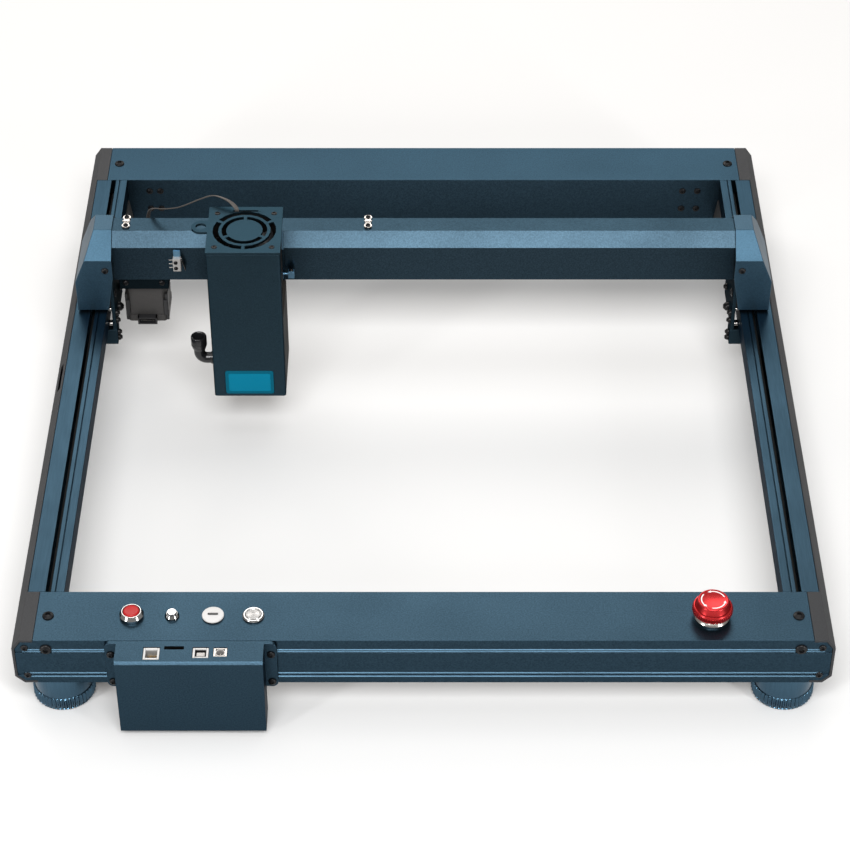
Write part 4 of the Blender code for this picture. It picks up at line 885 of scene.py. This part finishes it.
ROUTE = [
    (-148.9, 68.3, 187.6), (-149.0, 68.6, 191.0), (-153.5, 72.5, 194.3), (-161.0, 77.5, 195.4),
    (-169.0, 82.0, 194.0), (-180.0, 89.0, 185.4), (-190.3, 96.3, 175.6), (-199.0, 103.0, 167.5),
    (-206.8, 109.3, 161.8), (-214.5, 115.5, 157.0), (-220.5, 121.5, 153.2), (-225.5, 128.0, 147.0),
    (-228.0, 131.8, 138.0), (-229.2, 132.6, 128.0), (-229.6, 132.8, 118.0),
]


def route_point(at):
    """A point on the smooth curve through the route, with at running from 0 to its last index."""
    k = min(int(at), len(ROUTE) - 2)
    t = at - k
    p = [Vector(ROUTE[min(max(k + d, 0), len(ROUTE) - 1)]) for d in (-1, 0, 1, 2)]
    return 0.5 * (
        2 * p[1] + (p[2] - p[0]) * t + (2 * p[0] - 5 * p[1] + 4 * p[2] - p[3]) * t**2
        + (3 * p[1] - p[0] - 3 * p[2] + p[3]) * t**3
    )


def ribbon(name, start, end, stations):
    """A stretch of the flat cable: five round conductors side by side in one jacket."""
    last = len(ROUTE) - 1
    at_slot, between, at_end = Vector((1, 0, 0)), Vector((0.1, 0.8, -0.6)), Vector((1, 0, 0))
    bm = bmesh.new()
    rows = []
    cores, thick = 5, 0.42
    for k in range(stations + 1):
        at = start + (end - start) * k / stations
        middle = route_point(at)
        ahead = route_point(min(at + 0.05, last)) - route_point(max(at - 0.05, 0))
        tilt = min(at / 5, (last - at) / 4, 1)
        wide = (at_slot if at < last / 2 else at_end).lerp(between, tilt)
        wide = (wide - wide.project(ahead)).normalized() * 1.6
        up = wide.cross(ahead).normalized() * thick
        upper, lower = [], []
        for j in range(cores * 6 + 1):
            share = j / (cores * 6)
            swell = 0.55 + 0.45 * abs(math.sin(math.pi * share * cores))
            upper.append(middle + wide * (2 * share - 1) + up * swell)
            lower.append(middle + wide * (2 * share - 1) - up * swell)
        rows.append([bm.verts.new(p) for p in upper + lower[::-1]])
    for here, there in zip(rows, rows[1:]):
        for k in range(len(here)):
            n = (k + 1) % len(here)
            bm.faces.new((here[k], here[n], there[n], there[k]))
    bm.faces.new(rows[0])
    bm.faces.new(rows[-1])
    return piece(name, bm, cable_grey, None, (), 60)


def cable():
    """The cable in two stretches, split at a point along its route, and its plug on the gantry."""
    split = 4.6
    first = ribbon("cable_module_end", 0.0, split, 40)
    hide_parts("ribbon_cable")
    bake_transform(first)
    second = ribbon("cable_beam_end", split, len(ROUTE) - 1.0, 90)
    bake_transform(second)
    plug = brick(bmesh.new(), (-233.4, 130.2, 110.0), (-225.8, 134.4, 118.6), 0.5)
    piece("cable_plug", plug, gloss_black, "gantry")


# ---------------------------------------------------------------- stage


def area_light(name, location, target, size, power, colour=(1, 1, 1)):
    """A soft rectangular lamp, in metres and watts, that faces the target."""
    data = bpy.data.lights.new(name, "AREA")
    data.shape = "RECTANGLE"
    data.size, data.size_y = size
    data.energy = power
    data.color = colour
    lamp = bpy.data.objects.new(name, data)
    bpy.context.scene.collection.objects.link(lamp)
    lamp.location = location
    lamp.rotation_euler = (Vector(target) - Vector(location)).to_track_quat("-Z", "Y").to_euler()


def stage():
    """The pale floor, the even world light and the studio's lamps, in metres."""
    floor_bm = bmesh.new()
    bmesh.ops.create_grid(floor_bm, x_segments=2, y_segments=2, size=6.0)
    mesh = bpy.data.meshes.new("floor")
    floor_bm.to_mesh(mesh)
    floor_bm.free()
    paper = surface(
        "floor_paper", (0.56, 0.56, 0.56), 0.9, tone=0.01, tone_size=400, grain=0.01, bump=0.02, specular=0.1,
    )
    mesh.materials.append(paper)
    floor = bpy.data.objects.new("floor", mesh)
    floor.location = (0, 0, -0.0002)
    bpy.context.scene.collection.objects.link(floor)
    world = bpy.data.worlds.new("studio")
    world.use_nodes = True
    world.node_tree.nodes["Background"].inputs["Color"].default_value = (1.0, 0.98, 0.95, 1.0)
    world.node_tree.nodes["Background"].inputs["Strength"].default_value = 0.45
    bpy.context.scene.world = world
    middle = (0, 0, 0.1)
    area_light("key", (0, -1.95, 2.45), middle, (2.0, 0.9), 98)
    area_light("back", (-0.4, 2.3, 2.1), middle, (3.2, 1.2), 64, (1.0, 0.96, 0.92))
    area_light("overhead", (0, 0.1, 3.1), middle, (2.4, 1.6), 26)
    for x in (-1.5, 1.5):
        area_light("strip", (x, -1.5, 0.55), (0, -0.2, 0.1), (0.22, 0.9), 22)


def camera():
    """The photograph's view: place, tilt and lens as fitted to the frame's corners."""
    data = bpy.data.cameras.new("camera")
    data.lens = 108.04
    data.sensor_width = 36.0
    data.shift_x = 1.5 / PHOTO_WIDE
    eye = bpy.data.objects.new("camera", data)
    eye.location = (0, -1.5877, 1.379)
    eye.rotation_euler = (math.radians(49.5), 0, 0)
    bpy.context.scene.collection.objects.link(eye)
    bpy.context.scene.camera = eye


def main():
    bpy.context.scene.view_settings.view_transform = "Standard"
    camera()
    stage()
    dress_frame()
    dress_controls()
    dress_drives()
    dress_gantry()
    dress_carriage()
    dress_module()
    cable()


main()
